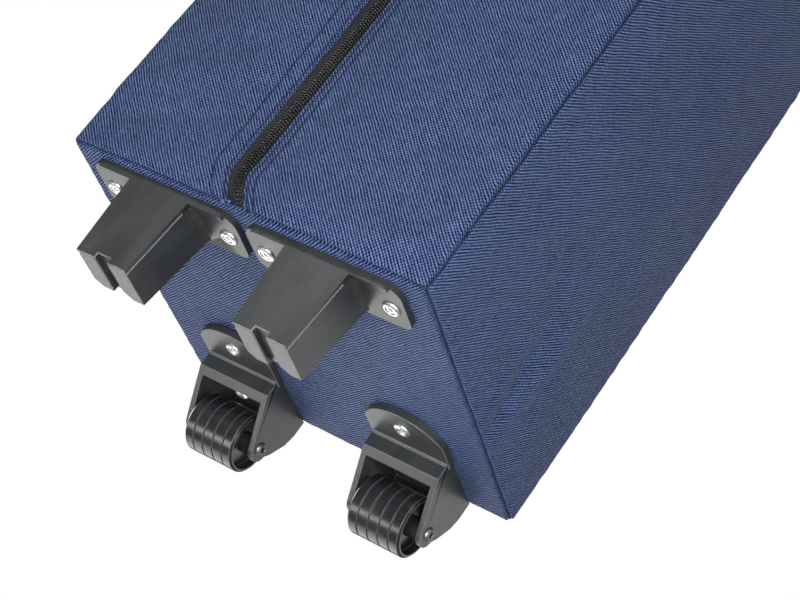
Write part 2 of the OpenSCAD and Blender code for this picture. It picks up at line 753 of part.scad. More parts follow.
module link_bar() {
    color([0.65, 0.66, 0.67]) difference() {
        translate([-tube_gap / 2 - 4, tube_y - 4, link_z]) cube([tube_gap + 8, 8, link_t]);
        at_tubes() translate([0, 0, link_z - 1]) cylinder(r = rod_r + slip, h = link_t + 2);
    }
}

module push_rods() {
    foot_z = pin_z + pin_r + button_travel + 1;
    color([0.65, 0.66, 0.67]) at_tubes() {
        translate([0, 0, foot_z]) cylinder(r = rod_r, h = link_z + link_t - foot_z);
        translate([0, 0, link_z + link_t]) cylinder(r = rod_r + 1, h = 1);
    }
}

// Coil spring under the link bar: rings joined into one stack
module button_spring() {
    wire = 0.8;
    coil_r = 4;
    z0 = grip_z + 4;
    h = link_z - z0;
    color([0.75, 0.76, 0.77]) translate([0, tube_y, z0]) difference() {
        cylinder(r = coil_r + wire / 2, h = h);
        translate([0, 0, -eps]) cylinder(r = coil_r - wire / 2, h = h + 2 * eps);
    }
}

// ---------- the assembly ----------

module place() {
    translate([0, mid_y, 0]) children();
}

place() front_panel(-1);  // front_panel_left
place() front_panel(1);  // front_panel_right
place() side_panel(-1);  // side_panel_left
place() side_panel(1);  // side_panel_right
place() back_panel();
place() bottom_panel();
place() top_panel();
place() zip_tape(-1);  // zip_tape_left
place() zip_tape(1);  // zip_tape_right
place() zip_coil(-1);  // zip_coil_left
place() zip_coil(1);  // zip_coil_right
place() zip_end_stops();
place() zip_slider();
place() zip_pull();
place() base_board();
place() back_board();
place() foot(-1);  // foot_left
place() foot(1);  // foot_right
place() foot_rivets();
place() bracket(-1);  // bracket_left
place() bracket(1);  // bracket_right
place() bracket_rivets();
place() rivet_washers();
place() wheel(-1);  // wheel_left
place() wheel(1);  // wheel_right
place() axle(-1);  // axle_left
place() axle(1);  // axle_right
place() tube_socket();
place() socket_screws();
place() outer_tube(-1);  // outer_tube_left
place() outer_tube(1);  // outer_tube_right
place() handle_collar();
place() collar_backing();
place() collar_screws();
place() inner_tube(-1);  // inner_tube_left
place() inner_tube(1);  // inner_tube_right
place() tube_plugs();
place() lock_pin(-1);  // lock_pin_left
place() lock_pin(1);  // lock_pin_right
place() grip_lower();
place() grip_upper();
place() grip_screws();
place() release_button();
place() link_bar();
place() push_rods();
place() button_spring();
place() carry_loop(front_y - web_t);  // carry_loop_front
place() carry_loop(back_y);  // carry_loop_back
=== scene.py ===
"""A two-wheeled fabric shopping trolley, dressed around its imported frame."""

import json
import logging
import math
from collections.abc import Callable, Sequence
from dataclasses import dataclass, field
from enum import Enum

import bpy
import bmesh
from mathutils import Matrix, Vector, noise


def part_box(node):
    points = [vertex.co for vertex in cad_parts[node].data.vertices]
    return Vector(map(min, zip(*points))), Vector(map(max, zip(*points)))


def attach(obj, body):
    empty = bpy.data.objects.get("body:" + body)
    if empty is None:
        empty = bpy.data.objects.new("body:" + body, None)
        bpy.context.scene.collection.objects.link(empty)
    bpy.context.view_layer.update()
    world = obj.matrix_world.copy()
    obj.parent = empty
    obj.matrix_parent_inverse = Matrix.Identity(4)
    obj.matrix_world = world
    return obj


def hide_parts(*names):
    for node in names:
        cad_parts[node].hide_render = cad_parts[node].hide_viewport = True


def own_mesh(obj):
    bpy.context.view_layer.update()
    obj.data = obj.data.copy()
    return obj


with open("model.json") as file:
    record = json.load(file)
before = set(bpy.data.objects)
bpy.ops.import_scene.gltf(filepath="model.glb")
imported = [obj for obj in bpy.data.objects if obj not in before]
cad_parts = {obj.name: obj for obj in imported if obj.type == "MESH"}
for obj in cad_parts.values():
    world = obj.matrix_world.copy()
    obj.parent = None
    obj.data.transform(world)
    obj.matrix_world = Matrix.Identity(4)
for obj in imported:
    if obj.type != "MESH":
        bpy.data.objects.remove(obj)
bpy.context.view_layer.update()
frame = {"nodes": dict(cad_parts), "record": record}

MM = 0.001
TAU = 2 * math.pi
Colour = tuple[float, float, float]
# Point attribute of the painted shade in the cloth's seams and under its stitches.
PAINTED_SEAM_SHADE = "seam_shade"
# Point attribute of the painted highlight along eased hard edges.
PAINTED_HIGHLIGHT = "painted_edge_highlight"

log = logging.getLogger("trolley")


# ---------- shader maths ----------


class Value:
    """A shader value: its operators add Math nodes."""

    def __init__(self, shader: "Shader", socket: bpy.types.NodeSocket) -> None:
        """Wraps one output socket of a shader's tree."""
        self.shader = shader
        self.socket = socket

    def maths(self, operation: str, *values: "Value | float") -> "Value":
        """Adds a Math node.

        Args:
            operation: The node's operation, such as "ADD".
            values: Its inputs, in order.

        Returns:
            The node's result.
        """
        inputs = dict(enumerate(values))
        return self.shader.node("ShaderNodeMath", {"operation": operation}, inputs)

    def __add__(self, other: "Value | float") -> "Value":
        """Sum."""
        return self.maths("ADD", self, other)

    def __sub__(self, other: "Value | float") -> "Value":
        """Difference."""
        return self.maths("SUBTRACT", self, other)

    def __rsub__(self, other: float) -> "Value":
        """Difference from a number."""
        return self.maths("SUBTRACT", other, self)

    def __mul__(self, other: "Value | float") -> "Value":
        """Product."""
        return self.maths("MULTIPLY", self, other)

    __radd__ = __add__
    __rmul__ = __mul__

    def sin(self) -> "Value":
        """Sine of an angle in radians."""
        return self.maths("SINE", self)

    def size(self) -> "Value":
        """Absolute value."""
        return self.maths("ABSOLUTE", self)

    def power(self, exponent: float) -> "Value":
        """The value, which isn't negative, raised to a power."""
        return self.maths("POWER", self, exponent)

    def step(self, low: float, high: float) -> "Value":
        """Smooth step from 0 at low to 1 at high."""
        settings = {"interpolation_type": "SMOOTHSTEP"}
        return self.shader.node("ShaderNodeMapRange", settings, {0: self, 1: low, 2: high})


class Shader:
    """A material in the making, round one Principled shader."""

    def __init__(self, name: str) -> None:
        """Starts an empty material with a Principled shader and an output."""
        self.material = bpy.data.materials.new(name)
        self.material.use_nodes = True
        self.tree = self.material.node_tree
        self.tree.nodes.clear()
        self.surface = self.tree.nodes.new("ShaderNodeBsdfPrincipled")
        output = self.tree.nodes.new("ShaderNodeOutputMaterial")
        self.tree.links.new(self.surface.outputs[0], output.inputs["Surface"])

    def node(
        self,
        kind: str,
        settings: dict[str, object] | None = None,
        inputs: dict[int | str, object] | None = None,
        output: int | str = 0,
    ) -> Value:
        """Adds a node of any kind.

        Args:
            kind: The node's type.
            settings: Its settings, which are set first; "stops" are a ramp's places and colours.
            inputs: A value, or a link, for each named or numbered socket.
            output: The socket whose value is wanted.

        Returns:
            That socket's value.
        """
        made = self.tree.nodes.new(kind)
        for name, setting in (settings or {}).items():
            setattr(made, name, setting)
        for name, given in (inputs or {}).items():
            if isinstance(given, Value):
                self.tree.links.new(given.socket, made.inputs[name])
            else:
                made.inputs[name].default_value = given
        return Value(self, made.outputs[output])

    def noise(self, where: Value, scale: float, detail: float = 2.0, rough: float = 0.5) -> Value:
        """Fractal noise about 0.5, with scale features in a metre."""
        inputs = {"Vector": where, "Scale": scale, "Detail": detail, "Roughness": rough}
        return self.node("ShaderNodeTexNoise", {}, inputs)

    def stretched(self, where: Value, scale: Sequence[float]) -> Value:
        """The place with each axis scaled by its own number."""
        return self.node("ShaderNodeVectorMath", {"operation": "MULTIPLY"}, {0: where, 1: scale})

    def mix(self, factor: Value | float, first: Value | Colour, second: Value | Colour) -> Value:
        """Blends two colours by factor."""
        inputs = {0: factor, 6: opaque(first), 7: opaque(second)}
        return self.node("ShaderNodeMix", {"data_type": "RGBA"}, inputs, 2)

    def bump(self, height: Value, depth: float, before: Value | None = None) -> Value:
        """A normal bent by height, whose range stands for depth in metres."""
        inputs: dict[int | str, object] = {"Height": height, "Strength": 1.0, "Distance": depth}
        if before is not None:
            inputs["Normal"] = before
        return self.node("ShaderNodeBump", {}, inputs)

    def dress(self, constants: dict[str, object], varying: dict[str, Value]) -> bpy.types.Material:
        """Sets the surface's sockets.

        Args:
            constants: Values that are the same all over.
            varying: Values that change over the surface.

        Returns:
            The finished material.
        """
        for name, value in constants.items():
            self.surface.inputs[name].default_value = value
        for name, value in varying.items():
            self.tree.links.new(value.socket, self.surface.inputs[name])
        return self.material


def opaque(colour: Value | Colour) -> Value | tuple[float, ...]:
    """A colour with its alpha, or a link as it is."""
    return colour if isinstance(colour, Value) else (*colour, 1.0)


# ---------- finishes ----------


@dataclass(frozen=True)
class BasketCloth:
    """Coarse polyester cloth; its slanting weave follows the piece's UV map, in metres. Its colour is partly the
    weave's pattern and partly painted highlight on the raised yarns and painted shade in the hollows between them.
    """

    name: str
    # The raised yarns' colour includes painted highlight, and the dark colour includes painted shade between the yarns.
    light: Colour = (0.118, 0.184, 0.352)
    dark: Colour = (0.001, 0.004, 0.048)
    count_u: float = 428.0
    count_v: float = 438.0
    relief: float = 0.20 * MM
    rough: float = 0.60

    def material(self) -> bpy.types.Material:
        """Builds the cloth's material."""
        shader = Shader(self.name)
        uv = shader.node("ShaderNodeTexCoord", output="UV")
        wander = shader.noise(uv, 60.0, 2.0) - 0.5
        across = shader.node("ShaderNodeSeparateXYZ", inputs={0: uv}, output=0)
        along = shader.node("ShaderNodeSeparateXYZ", inputs={0: uv}, output=1)
        turn_u = (across + wander * (1.2 * MM)) * (TAU * self.count_u)
        turn_v = (along + wander * (0.8 * MM)) * (TAU * self.count_v)
        twill = (turn_u + turn_v).sin()
        cross = (turn_u - turn_v).sin()
        beat = (turn_u * 0.60 + turn_v * 0.72).sin()
        slub = shader.noise(shader.stretched(uv, (90.0, 900.0, 1.0)), 1.0, 3.0, 0.6)
        slub_v = shader.noise(shader.stretched(uv, (900.0, 90.0, 1.0)), 1.0, 3.0, 0.6)
        height = (twill * 0.48 + cross * 0.24 + beat * 0.14 + (slub + slub_v - 1.0) * 0.9).step(-0.54, 0.58)
        patches = shader.noise(uv, 18.0, 3.0)
        # Colour from the weave's height and random patches: yarn pattern with painted highlight on the raised yarns and
        # painted shade in the hollows.
        weave_tone_and_painted_light = height.power(1.5) * (patches * 0.5 + 0.75)
        # Painted shade: the cloth is darkened in its seams and along its topstitch rows, where the grooves fall in
        # shade.
        sewn = shader.node("ShaderNodeAttribute", {"attribute_name": PAINTED_SEAM_SHADE}, output="Fac")
        colour = shader.mix(weave_tone_and_painted_light * (1.0 - sewn * 0.85), self.dark, self.light)
        varying = {"Base Color": colour, "Normal": shader.bump(height, self.relief),
                   "Roughness": self.rough + 0.2 * (1.0 - height)}
        return shader.dress({"Specular IOR Level": 0.2, "Sheen Weight": 0.04, "Sheen Roughness": 0.4}, varying)


@dataclass(frozen=True)
class RibbedTape:
    """Narrow woven tape or webbing: ribs across it and a herringbone along it."""

    name: str
    light: Colour
    dark: Colour
    rib: float
    relief: float
    rough: float = 0.7

    def material(self) -> bpy.types.Material:
        """Builds the tape's material."""
        shader = Shader(self.name)
        uv = shader.node("ShaderNodeTexCoord", output="UV")
        across = shader.node("ShaderNodeSeparateXYZ", inputs={0: uv}, output=0)
        along = shader.node("ShaderNodeSeparateXYZ", inputs={0: uv}, output=1)
        wave = (across * (math.pi / (3 * self.rib))).sin()
        lane = wave.maths("ARCSINE", wave)
        ribs = (along * (TAU / self.rib) + lane * 3.0).sin() * 0.5 + 0.5
        yarns = (across * (TAU / (0.8 * self.rib))).sin() * 0.5 + 0.5
        fuzz = shader.noise(uv, 2600.0, 2.0)
        height = ribs * 0.6 + yarns * 0.2 + fuzz * 0.2
        colour = shader.mix(height * (shader.noise(uv, 40.0) * 0.6 + 0.7), self.dark, self.light)
        constants = {"Sheen Weight": 0.1, "Sheen Roughness": 0.5}
        varying = {"Base Color": colour, "Roughness": self.rough + 0.15 * fuzz,
                   "Normal": shader.bump(height, self.relief)}
        return shader.dress(constants, varying)


@dataclass(frozen=True)
class Moulded:
    """Moulded plastic with a fine grain, flow marks, a little dust, and painted highlights along its eased edges."""

    name: str
    colour: Colour
    pale: Colour
    rough: float
    grain: float = 2400.0
    depth: float = 0.02 * MM
    # Colour of the painted highlight along eased edges.
    worn: Colour = (0.260, 0.268, 0.274)

    def material(self) -> bpy.types.Material:
        """Builds the plastic's material."""
        shader = Shader(self.name)
        place = shader.node("ShaderNodeTexCoord", output="Object")
        grain = shader.noise(place, self.grain, 2.0)
        flow = shader.noise(shader.stretched(place, (1.0, 1.0, 0.35)), 55.0, 4.0, 0.6)
        dust = shader.noise(place, 900.0, 4.0, 0.7).step(0.56, 0.75)
        colour = shader.mix(flow.step(0.3, 0.8) * 0.55 + dust * 0.3, self.colour, self.pale)
        # Painted highlight: eased edges are lightened towards the highlight colour, as if they caught the light, and
        # broken up by the flow marks.
        edge = shader.node("ShaderNodeAttribute", {"attribute_name": PAINTED_HIGHLIGHT}, output="Fac")
        colour = shader.mix(edge * (0.5 + 0.5 * flow), colour, self.worn)
        rough = self.rough + 0.16 * (flow - 0.5) + 0.1 * dust + 0.08 * (grain - 0.5)
        normal = shader.bump(flow, 0.12 * MM, shader.bump(grain, self.depth))
        return shader.dress({"IOR": 1.5}, {"Base Color": colour, "Roughness": rough, "Normal": normal})


@dataclass(frozen=True)
class Metal:
    """Plated or anodised metal with fine lines along one axis, and faint smears."""

    name: str
    colour: Colour
    dull: Colour
    rough: float
    lines: tuple[float, float, float] = (1.0, 1.0, 1.0)

    def material(self) -> bpy.types.Material:
        """Builds the metal's material."""
        shader = Shader(self.name)
        place = shader.node("ShaderNodeTexCoord", output="Object")
        lines = shader.noise(shader.stretched(place, self.lines), 3000.0, 2.0)
        smears = shader.noise(place, 140.0, 4.0, 0.65)
        colour = shader.mix(smears.step(0.45, 0.8) * 0.7, self.colour, self.dull)
        varying = {"Base Color": colour, "Roughness": self.rough + 0.18 * (smears - 0.5) + 0.12 * (lines - 0.5),
                   "Normal": shader.bump(lines, 0.008 * MM)}
        return shader.dress({"Metallic": 1.0}, varying)


class Finish(Enum):
    """The trolley's finishes; each name is also the record's slot, in capitals."""

    NAVY_FABRIC = BasketCloth("navy cloth")
    NAVY_THREAD = Moulded("navy thread", (0.004, 0.006, 0.018), (0.012, 0.016, 0.045), 0.6, 3000.0, 0.03 * MM)
    WEBBING = RibbedTape("navy webbing", (0.045, 0.060, 0.135), (0.010, 0.014, 0.036), 1.6 * MM, 0.25 * MM)
    ZIP_TAPE = RibbedTape("black zip tape", (0.022, 0.023, 0.026), (0.004, 0.004, 0.005), 0.9 * MM, 0.1 * MM)
    ZIP_COIL = Moulded("black nylon coil", (0.012, 0.012, 0.013), (0.080, 0.080, 0.078), 0.15, 5000.0, 0.005 * MM)
    BLACK_ENAMEL = Moulded("black enamel", (0.012, 0.012, 0.013), (0.03, 0.03, 0.032), 0.25, 1800.0, 0.01 * MM)
    PLAIN_STEEL = Metal("plain steel", (0.42, 0.43, 0.44), (0.20, 0.20, 0.20), 0.36)
    BOARD_PLASTIC = Moulded("board plastic", (0.03, 0.03, 0.033), (0.06, 0.06, 0.06), 0.6)
    FOOT_PLASTIC = Moulded("foot plastic", (0.024, 0.026, 0.027), (0.068, 0.072, 0.074), 0.34)
    BRACKET_PLASTIC = Moulded("bracket plastic", (0.032, 0.035, 0.036), (0.075, 0.080, 0.082), 0.36)
    ROLLER_PLASTIC = Moulded("roller plastic", (0.014, 0.015, 0.016), (0.044, 0.047, 0.049), 0.24)
    RIVET_METAL = Metal("nickel plate", (0.93, 0.95, 0.95), (0.70, 0.72, 0.72), 0.34)
    OUTER_TUBE_METAL = Metal("satin tube", (0.45, 0.46, 0.48), (0.33, 0.34, 0.35), 0.34, (1.0, 1.0, 0.03))
    INNER_TUBE_METAL = Metal("bright tube", (0.72, 0.73, 0.75), (0.55, 0.56, 0.58), 0.24, (1.0, 1.0, 0.03))
    BUTTON_PLASTIC = Moulded("button plastic", (0.11, 0.115, 0.12), (0.17, 0.175, 0.18), 0.4)
    HANDLE_PLASTIC = Moulded("handle plastic", (0.012, 0.012, 0.013), (0.035, 0.035, 0.037), 0.48, 1500.0, 0.05 * MM)

    @property
    def slot(self) -> str:
        """The record's slot; thread counts as the cloth that it holds."""
        return "navy_fabric" if self is Finish.NAVY_THREAD else self.name.lower()

    def material(self) -> bpy.types.Material:
        """The finish's material, built once."""
        return bpy.data.materials.get(self.value.name) or self.value.material()


# ---------- modelling ----------


def pick(piece: bpy.types.Object) -> None:
    """Makes one piece the only selected and active one."""
    bpy.ops.object.select_all(action="DESELECT")
    piece.select_set(True)
    bpy.context.view_layer.objects.active = piece


def apply_modifier(piece: bpy.types.Object, kind: str, **settings: object) -> None:
    """Adds a modifier with its settings and applies it."""
    pick(piece)
    modifier = piece.modifiers.new(kind, kind)
    for name, value in settings.items():
        setattr(modifier, name, value)
    bpy.ops.object.modifier_apply(modifier=modifier.name)


def smooth(piece: bpy.types.Object, angle: float = 35.0) -> None:
    """Shades a piece smooth across edges below an angle in degrees."""
    pick(piece)
    bpy.ops.object.shade_smooth_by_angle(angle=math.radians(angle))


def new_grid(name: str, columns: int, rows: int) -> bpy.types.Object:
    """A flat grid of one metre, columns by rows faces, with its UV map."""
    bpy.ops.object.select_all(action="DESELECT")
    bpy.ops.mesh.primitive_grid_add(x_subdivisions=columns, y_subdivisions=rows, size=1, calc_uvs=True)
    piece = bpy.context.active_object
    piece.name = name
    return piece


def lay_grid(
    piece: bpy.types.Object,
    place: Callable[[float, float], Vector],
    cloth: Callable[[float, float], tuple[float, float]],
) -> None:
    """Moves a grid's points from their share across and along to their place.

    Args:
        piece: A new grid.
        place: Gives a point from its shares, 0 to 1, across and along the grid.
        cloth: Gives the point's place on the flat cloth in metres, for the UV map.
    """
    shares = [(point.co.x + 0.5, point.co.y + 0.5) for point in piece.data.vertices]
    for point, (a, b) in zip(piece.data.vertices, shares):
        point.co = place(a, b)
    layer = piece.data.uv_layers[0].data
    for loop in piece.data.loops:
        layer[loop.index].uv = cloth(*shares[loop.vertex_index])


def close_up(piece: bpy.types.Object) -> None:
    """Merges a wrapped grid's seam, closes its ends and turns its faces outwards."""
    pick(piece)
    bpy.ops.object.mode_set(mode="EDIT")
    bpy.ops.mesh.select_all(action="SELECT")
    bpy.ops.mesh.remove_doubles(threshold=1e-6)
    bpy.ops.mesh.fill_holes(sides=0)
    bpy.ops.mesh.select_all(action="SELECT")
    bpy.ops.mesh.normals_make_consistent(inside=False)
    bpy.ops.object.mode_set(mode="OBJECT")


def loft(
    name: str,
    rings: Sequence[tuple[Vector, Vector, Vector]],
    around: int,
    square: float = 1.0,
) -> bpy.types.Object:
    """Draws one closed skin over a row of rings.

    Args:
        name: The piece's name.
        rings: Each ring's middle and its two half-widths, as vectors.
        around: Points on each ring.
        square: 1 for an ellipse, and less for a ring with flatter sides.

    Returns:
        The piece, closed at both ends.
    """
    lengths = [0.0]
    for before, after in zip(rings, rings[1:]):
        lengths.append(lengths[-1] + (after[0] - before[0]).length)
    girth = 2 * (rings[0][1].length + rings[0][2].length)

    def place(a: float, b: float) -> Vector:
        middle, wide, tall = rings[round(b * (len(rings) - 1))]
        c, s = math.cos(TAU * a), math.sin(TAU * a)
        return (middle + wide * math.copysign(abs(c) ** square, c) + tall * math.copysign(abs(s) ** square, s))

    def cloth(a: float, b: float) -> tuple[float, float]:
        return a * girth, lengths[round(b * (len(rings) - 1))]

    piece = new_grid(name, around, len(rings) - 1)
    lay_grid(piece, place, cloth)
    close_up(piece)
    return piece


def strew(unit: bpy.types.Object, places: Sequence[Matrix]) -> bpy.types.Object:
    """Copies a small piece to many places and joins the copies into one.

    Args:
        unit: The piece, modelled round the origin; it becomes the first copy.
        places: Where each copy goes.

    Returns:
        The joined piece.
    """
    copies = [unit]
    for _ in places[1:]:
        copy = bpy.data.objects.new(unit.name, unit.data.copy())
        bpy.context.scene.collection.objects.link(copy)
        copies.append(copy)
    for copy, place in zip(copies, places):
        copy.data.transform(place)
    bpy.ops.object.select_all(action="DESELECT")
    for copy in copies:
        copy.select_set(True)
    bpy.context.view_layer.objects.active = unit
    bpy.ops.object.join()
    return unit


def basis(middle: Vector, x: Vector, y: Vector, z: Vector) -> Matrix:
    """A place from a middle and three axes."""
    turn = Matrix((x, y, z)).transposed().to_4x4()
    return Matrix.Translation(middle) @ turn


def deliver(
    piece: bpy.types.Object,
    finish: Finish,
    replaces: Sequence[str] = (),
    body: str = "bag",
) -> bpy.types.Object:
    """Dresses a piece, sets it on its body and reports it.

    Args:
        piece: The finished mesh.
        finish: What it is made of.
        replaces: The frame's nodes that it stands for.
        body: The body that carries it.

    Returns:
        The piece.
    """
    piece.data.materials.clear()
    piece.data.materials.append(finish.material())
    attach(piece, body)
    finish.slot
    if replaces:
        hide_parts(*replaces)
    log.info("%s: %d faces, %s, on %s", piece.name, len(piece.data.polygons), finish.slot, body)
    return piece


def body_of_node(node: str) -> str:
    """The body that a frame's node belongs to."""
    bodies = frame["record"]["behaviour"]["bodies"]
    return next(body for body, members in bodies.items() if node in members)


@dataclass(frozen=True)
class Easing:
    """How a hard part's sharp edges are eased.

    Attributes:
        finish: What the part is made of.
        edge: Width of the eased edges in metres.
        below: Height under which edges are eased, where the rest is left crisp.
    """

    finish: Finish
    edge: float
    below: float = math.inf


def sharp_edges(piece: bpy.types.Object, below: float, angle: float = math.radians(30)) -> None:
    """Marks a piece's outward edges that are sharper than an angle and lie below a height."""
    shape = bmesh.new()
    shape.from_mesh(piece.data)
    weight = shape.edges.layers.float.new("bevel_weight_edge")
    for edge in shape.edges:
        low = all(point.co.z < below for point in edge.verts)
        if low and edge.is_manifold and edge.calc_face_angle_signed() > angle:
            edge[weight] = 1.0
    shape.to_mesh(piece.data)
    shape.free()


def paint_edge_highlights(piece: bpy.types.Object) -> None:
    """Marks the middle of each eased edge, whose faces the bevel gave the second material, for a painted highlight:
    lighter colour where the edge would catch the light.
    """
    shape = bmesh.new()
    shape.from_mesh(piece.data)
    worn = shape.verts.layers.float.new(PAINTED_HIGHLIGHT)
    for point in shape.verts:
        point[worn] = float(all(face.material_index == 1 for face in point.link_faces))
    for face in shape.faces:
        face.material_index = 0
    shape.to_mesh(piece.data)
    shape.free()


def eased(node: str, easing: Easing) -> bpy.types.Object:
    """Stands in for a hard node with a copy whose edges are eased.

    Args:
        node: The frame's node.
        easing: Its finish and edges.

    Returns:
        The piece.
    """
    piece = bpy.data.objects.new(node + "_eased", frame["nodes"][node].data.copy())
    bpy.context.scene.collection.objects.link(piece)
    pick(piece)
    bpy.ops.object.mode_set(mode="EDIT")
    bpy.ops.mesh.select_all(action="SELECT")
    bpy.ops.mesh.remove_doubles(threshold=2e-6)
    bpy.ops.mesh.dissolve_limited(angle_limit=math.radians(0.6))
    bpy.ops.object.mode_set(mode="OBJECT")
    smooth(piece, 32)
    if easing.below < math.inf:
        sharp_edges(piece, easing.below)
        limit = {"limit_method": "WEIGHT"}
    else:
        limit = {"limit_method": "ANGLE", "angle_limit": math.radians(30)}
    while len(piece.data.materials) < 2:
        piece.data.materials.append(None)
    apply_modifier(piece, "BEVEL", width=easing.edge, segments=2, use_clamp_overlap=False,
                   harden_normals=True, material=1, **limit)
    # Lightens the middle of the eased edges with painted highlight.
    paint_edge_highlights(piece)
    apply_modifier(piece, "WEIGHTED_NORMAL", keep_sharp=True, weight=60)
    return deliver(piece, easing.finish, [node], body_of_node(node))


# ---------- bag ----------


@dataclass(frozen=True)
class Crease:
    """A soft ridge, or a valley where its height is negative, between two points of a panel in millimetres."""

    start: tuple[float, float]
    end: tuple[float, float]
    width: float
    height: float

    def lift(self, u: float, v: float) -> float:
        """Height in millimetres at a point of the panel in millimetres."""
        run = Vector(self.end) - Vector(self.start)
        reach = Vector((u, v)) - Vector(self.start)
        share = reach.dot(run) / run.length_squared
        if not -0.2 < share < 1.2:
            return 0.0
        off = (reach - run * share).length / self.width
        if off > 3:
            return 0.0
        taper = max(0.0, 1 - (2 * share - 1) ** 2 / 1.96) ** 1.5
        return self.height * taper * math.exp(-off * off)


@dataclass
class BagShape:
    """The soft box that the panels are cut from: its corners, round edges and seam lines."""

    edge: float = 3.6 * MM
    groove: float = 2.1 * MM
    wrap: float = 2.6 * MM
    hem: float = 1.6 * MM
    low: Vector = field(init=False)
    high: Vector = field(init=False)

    def __post_init__(self) -> None:
        """Takes the box from the frame's panels."""
        front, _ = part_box("front_panel_left")
        _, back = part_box("back_panel")
        self.low = Vector((front.x, front.y, front.z))
        self.high = Vector((-front.x, back.y, back.z))

    def soften(self, point: Vector, sink: float = 0.0) -> tuple[Vector, Vector]:
        """Moves a point of the sharp box on to the soft one.

        Args:
            point: A point on the sharp box.
            sink: How far it lies under the soft surface.

        Returns:
            The soft point and the outward direction there.
        """
        core = Vector([min(max(p, low + self.edge), high - self.edge)
                       for p, low, high in zip(point, self.low, self.high)])
        out = (point - core).normalized()
        return core + out * (self.edge - sink), out

    def bottom_rise(self, x: float) -> float:
        """Height of the front's bottom seam above the sharp edge, at a place across the bag."""
        share = max(0.0, 1 - ((x - 42 * MM) / (85 * MM)) ** 2)
        return self.hem + 4.8 * MM * share * share

    def seam_line(self, corner_a: Vector, corner_b: Vector, share: float) -> Vector:
        """A point on the sharp box along the seam between two of its corners."""
        point = corner_a.lerp(corner_b, share)
        run = corner_b - corner_a
        at_front = abs(point.y - self.low.y) < self.edge / 2
        at_bottom = abs(point.z - self.low.z) < self.edge / 2
        if abs(run.z) > self.edge:
            point.y += self.wrap if at_front else -self.wrap
        elif abs(run.x) > self.edge and at_front and at_bottom:
            point.z += self.bottom_rise(point.x)
        else:
            point.z += self.hem if at_bottom else -self.hem
        return point

    def corner(self, sharp: Vector) -> Vector:
        """Where the three seams of a corner meet."""
        point = sharp.copy()
        point.y += self.wrap if sharp.y < 0 else -self.wrap
        point.z += self.hem if sharp.z < (self.low.z + self.high.z) / 2 else -self.hem
        return self.soften(point, (1.7 if sharp.x > 0 else 0.7) * self.groove)[0]

    def seam(self, corner_a: Vector, corner_b: Vector, share: float) -> tuple[Vector, Vector]:
        """A point of the sewn line between two corners, gathered by its stitches.

        Args:
            corner_a: The sharp corner at share 0.
            corner_b: The sharp corner at share 1.
            share: The place along the seam.

        Returns:
            The point and the outward direction there.
        """
        length = (corner_b - corner_a).length
        point, out = self.soften(self.seam_line(corner_a, corner_b, share), self.groove)
        for end, sharp in ((0.0, corner_a), (1.0, corner_b)):
            near = math.exp(-((share - end) * length / (7 * MM)) ** 2)
            if near > 0.001:
                there = self.soften(self.seam_line(corner_a, corner_b, end), self.groove)[0]
                point = point + (self.corner(sharp) - there) * near
        fade = min(1.0, share * length / (12 * MM), (1 - share) * length / (12 * MM))
        shift = noise.noise_vector(point / (9 * MM)) * 0.45 * MM + noise.noise_vector(point / (30 * MM)) * 0.6 * MM
        return point + shift * fade, out


class Hem(Enum):
    """How a panel's border is finished."""

    SEWN = "sewn to the next panel"
    OPEN = "folded under beside the zip"


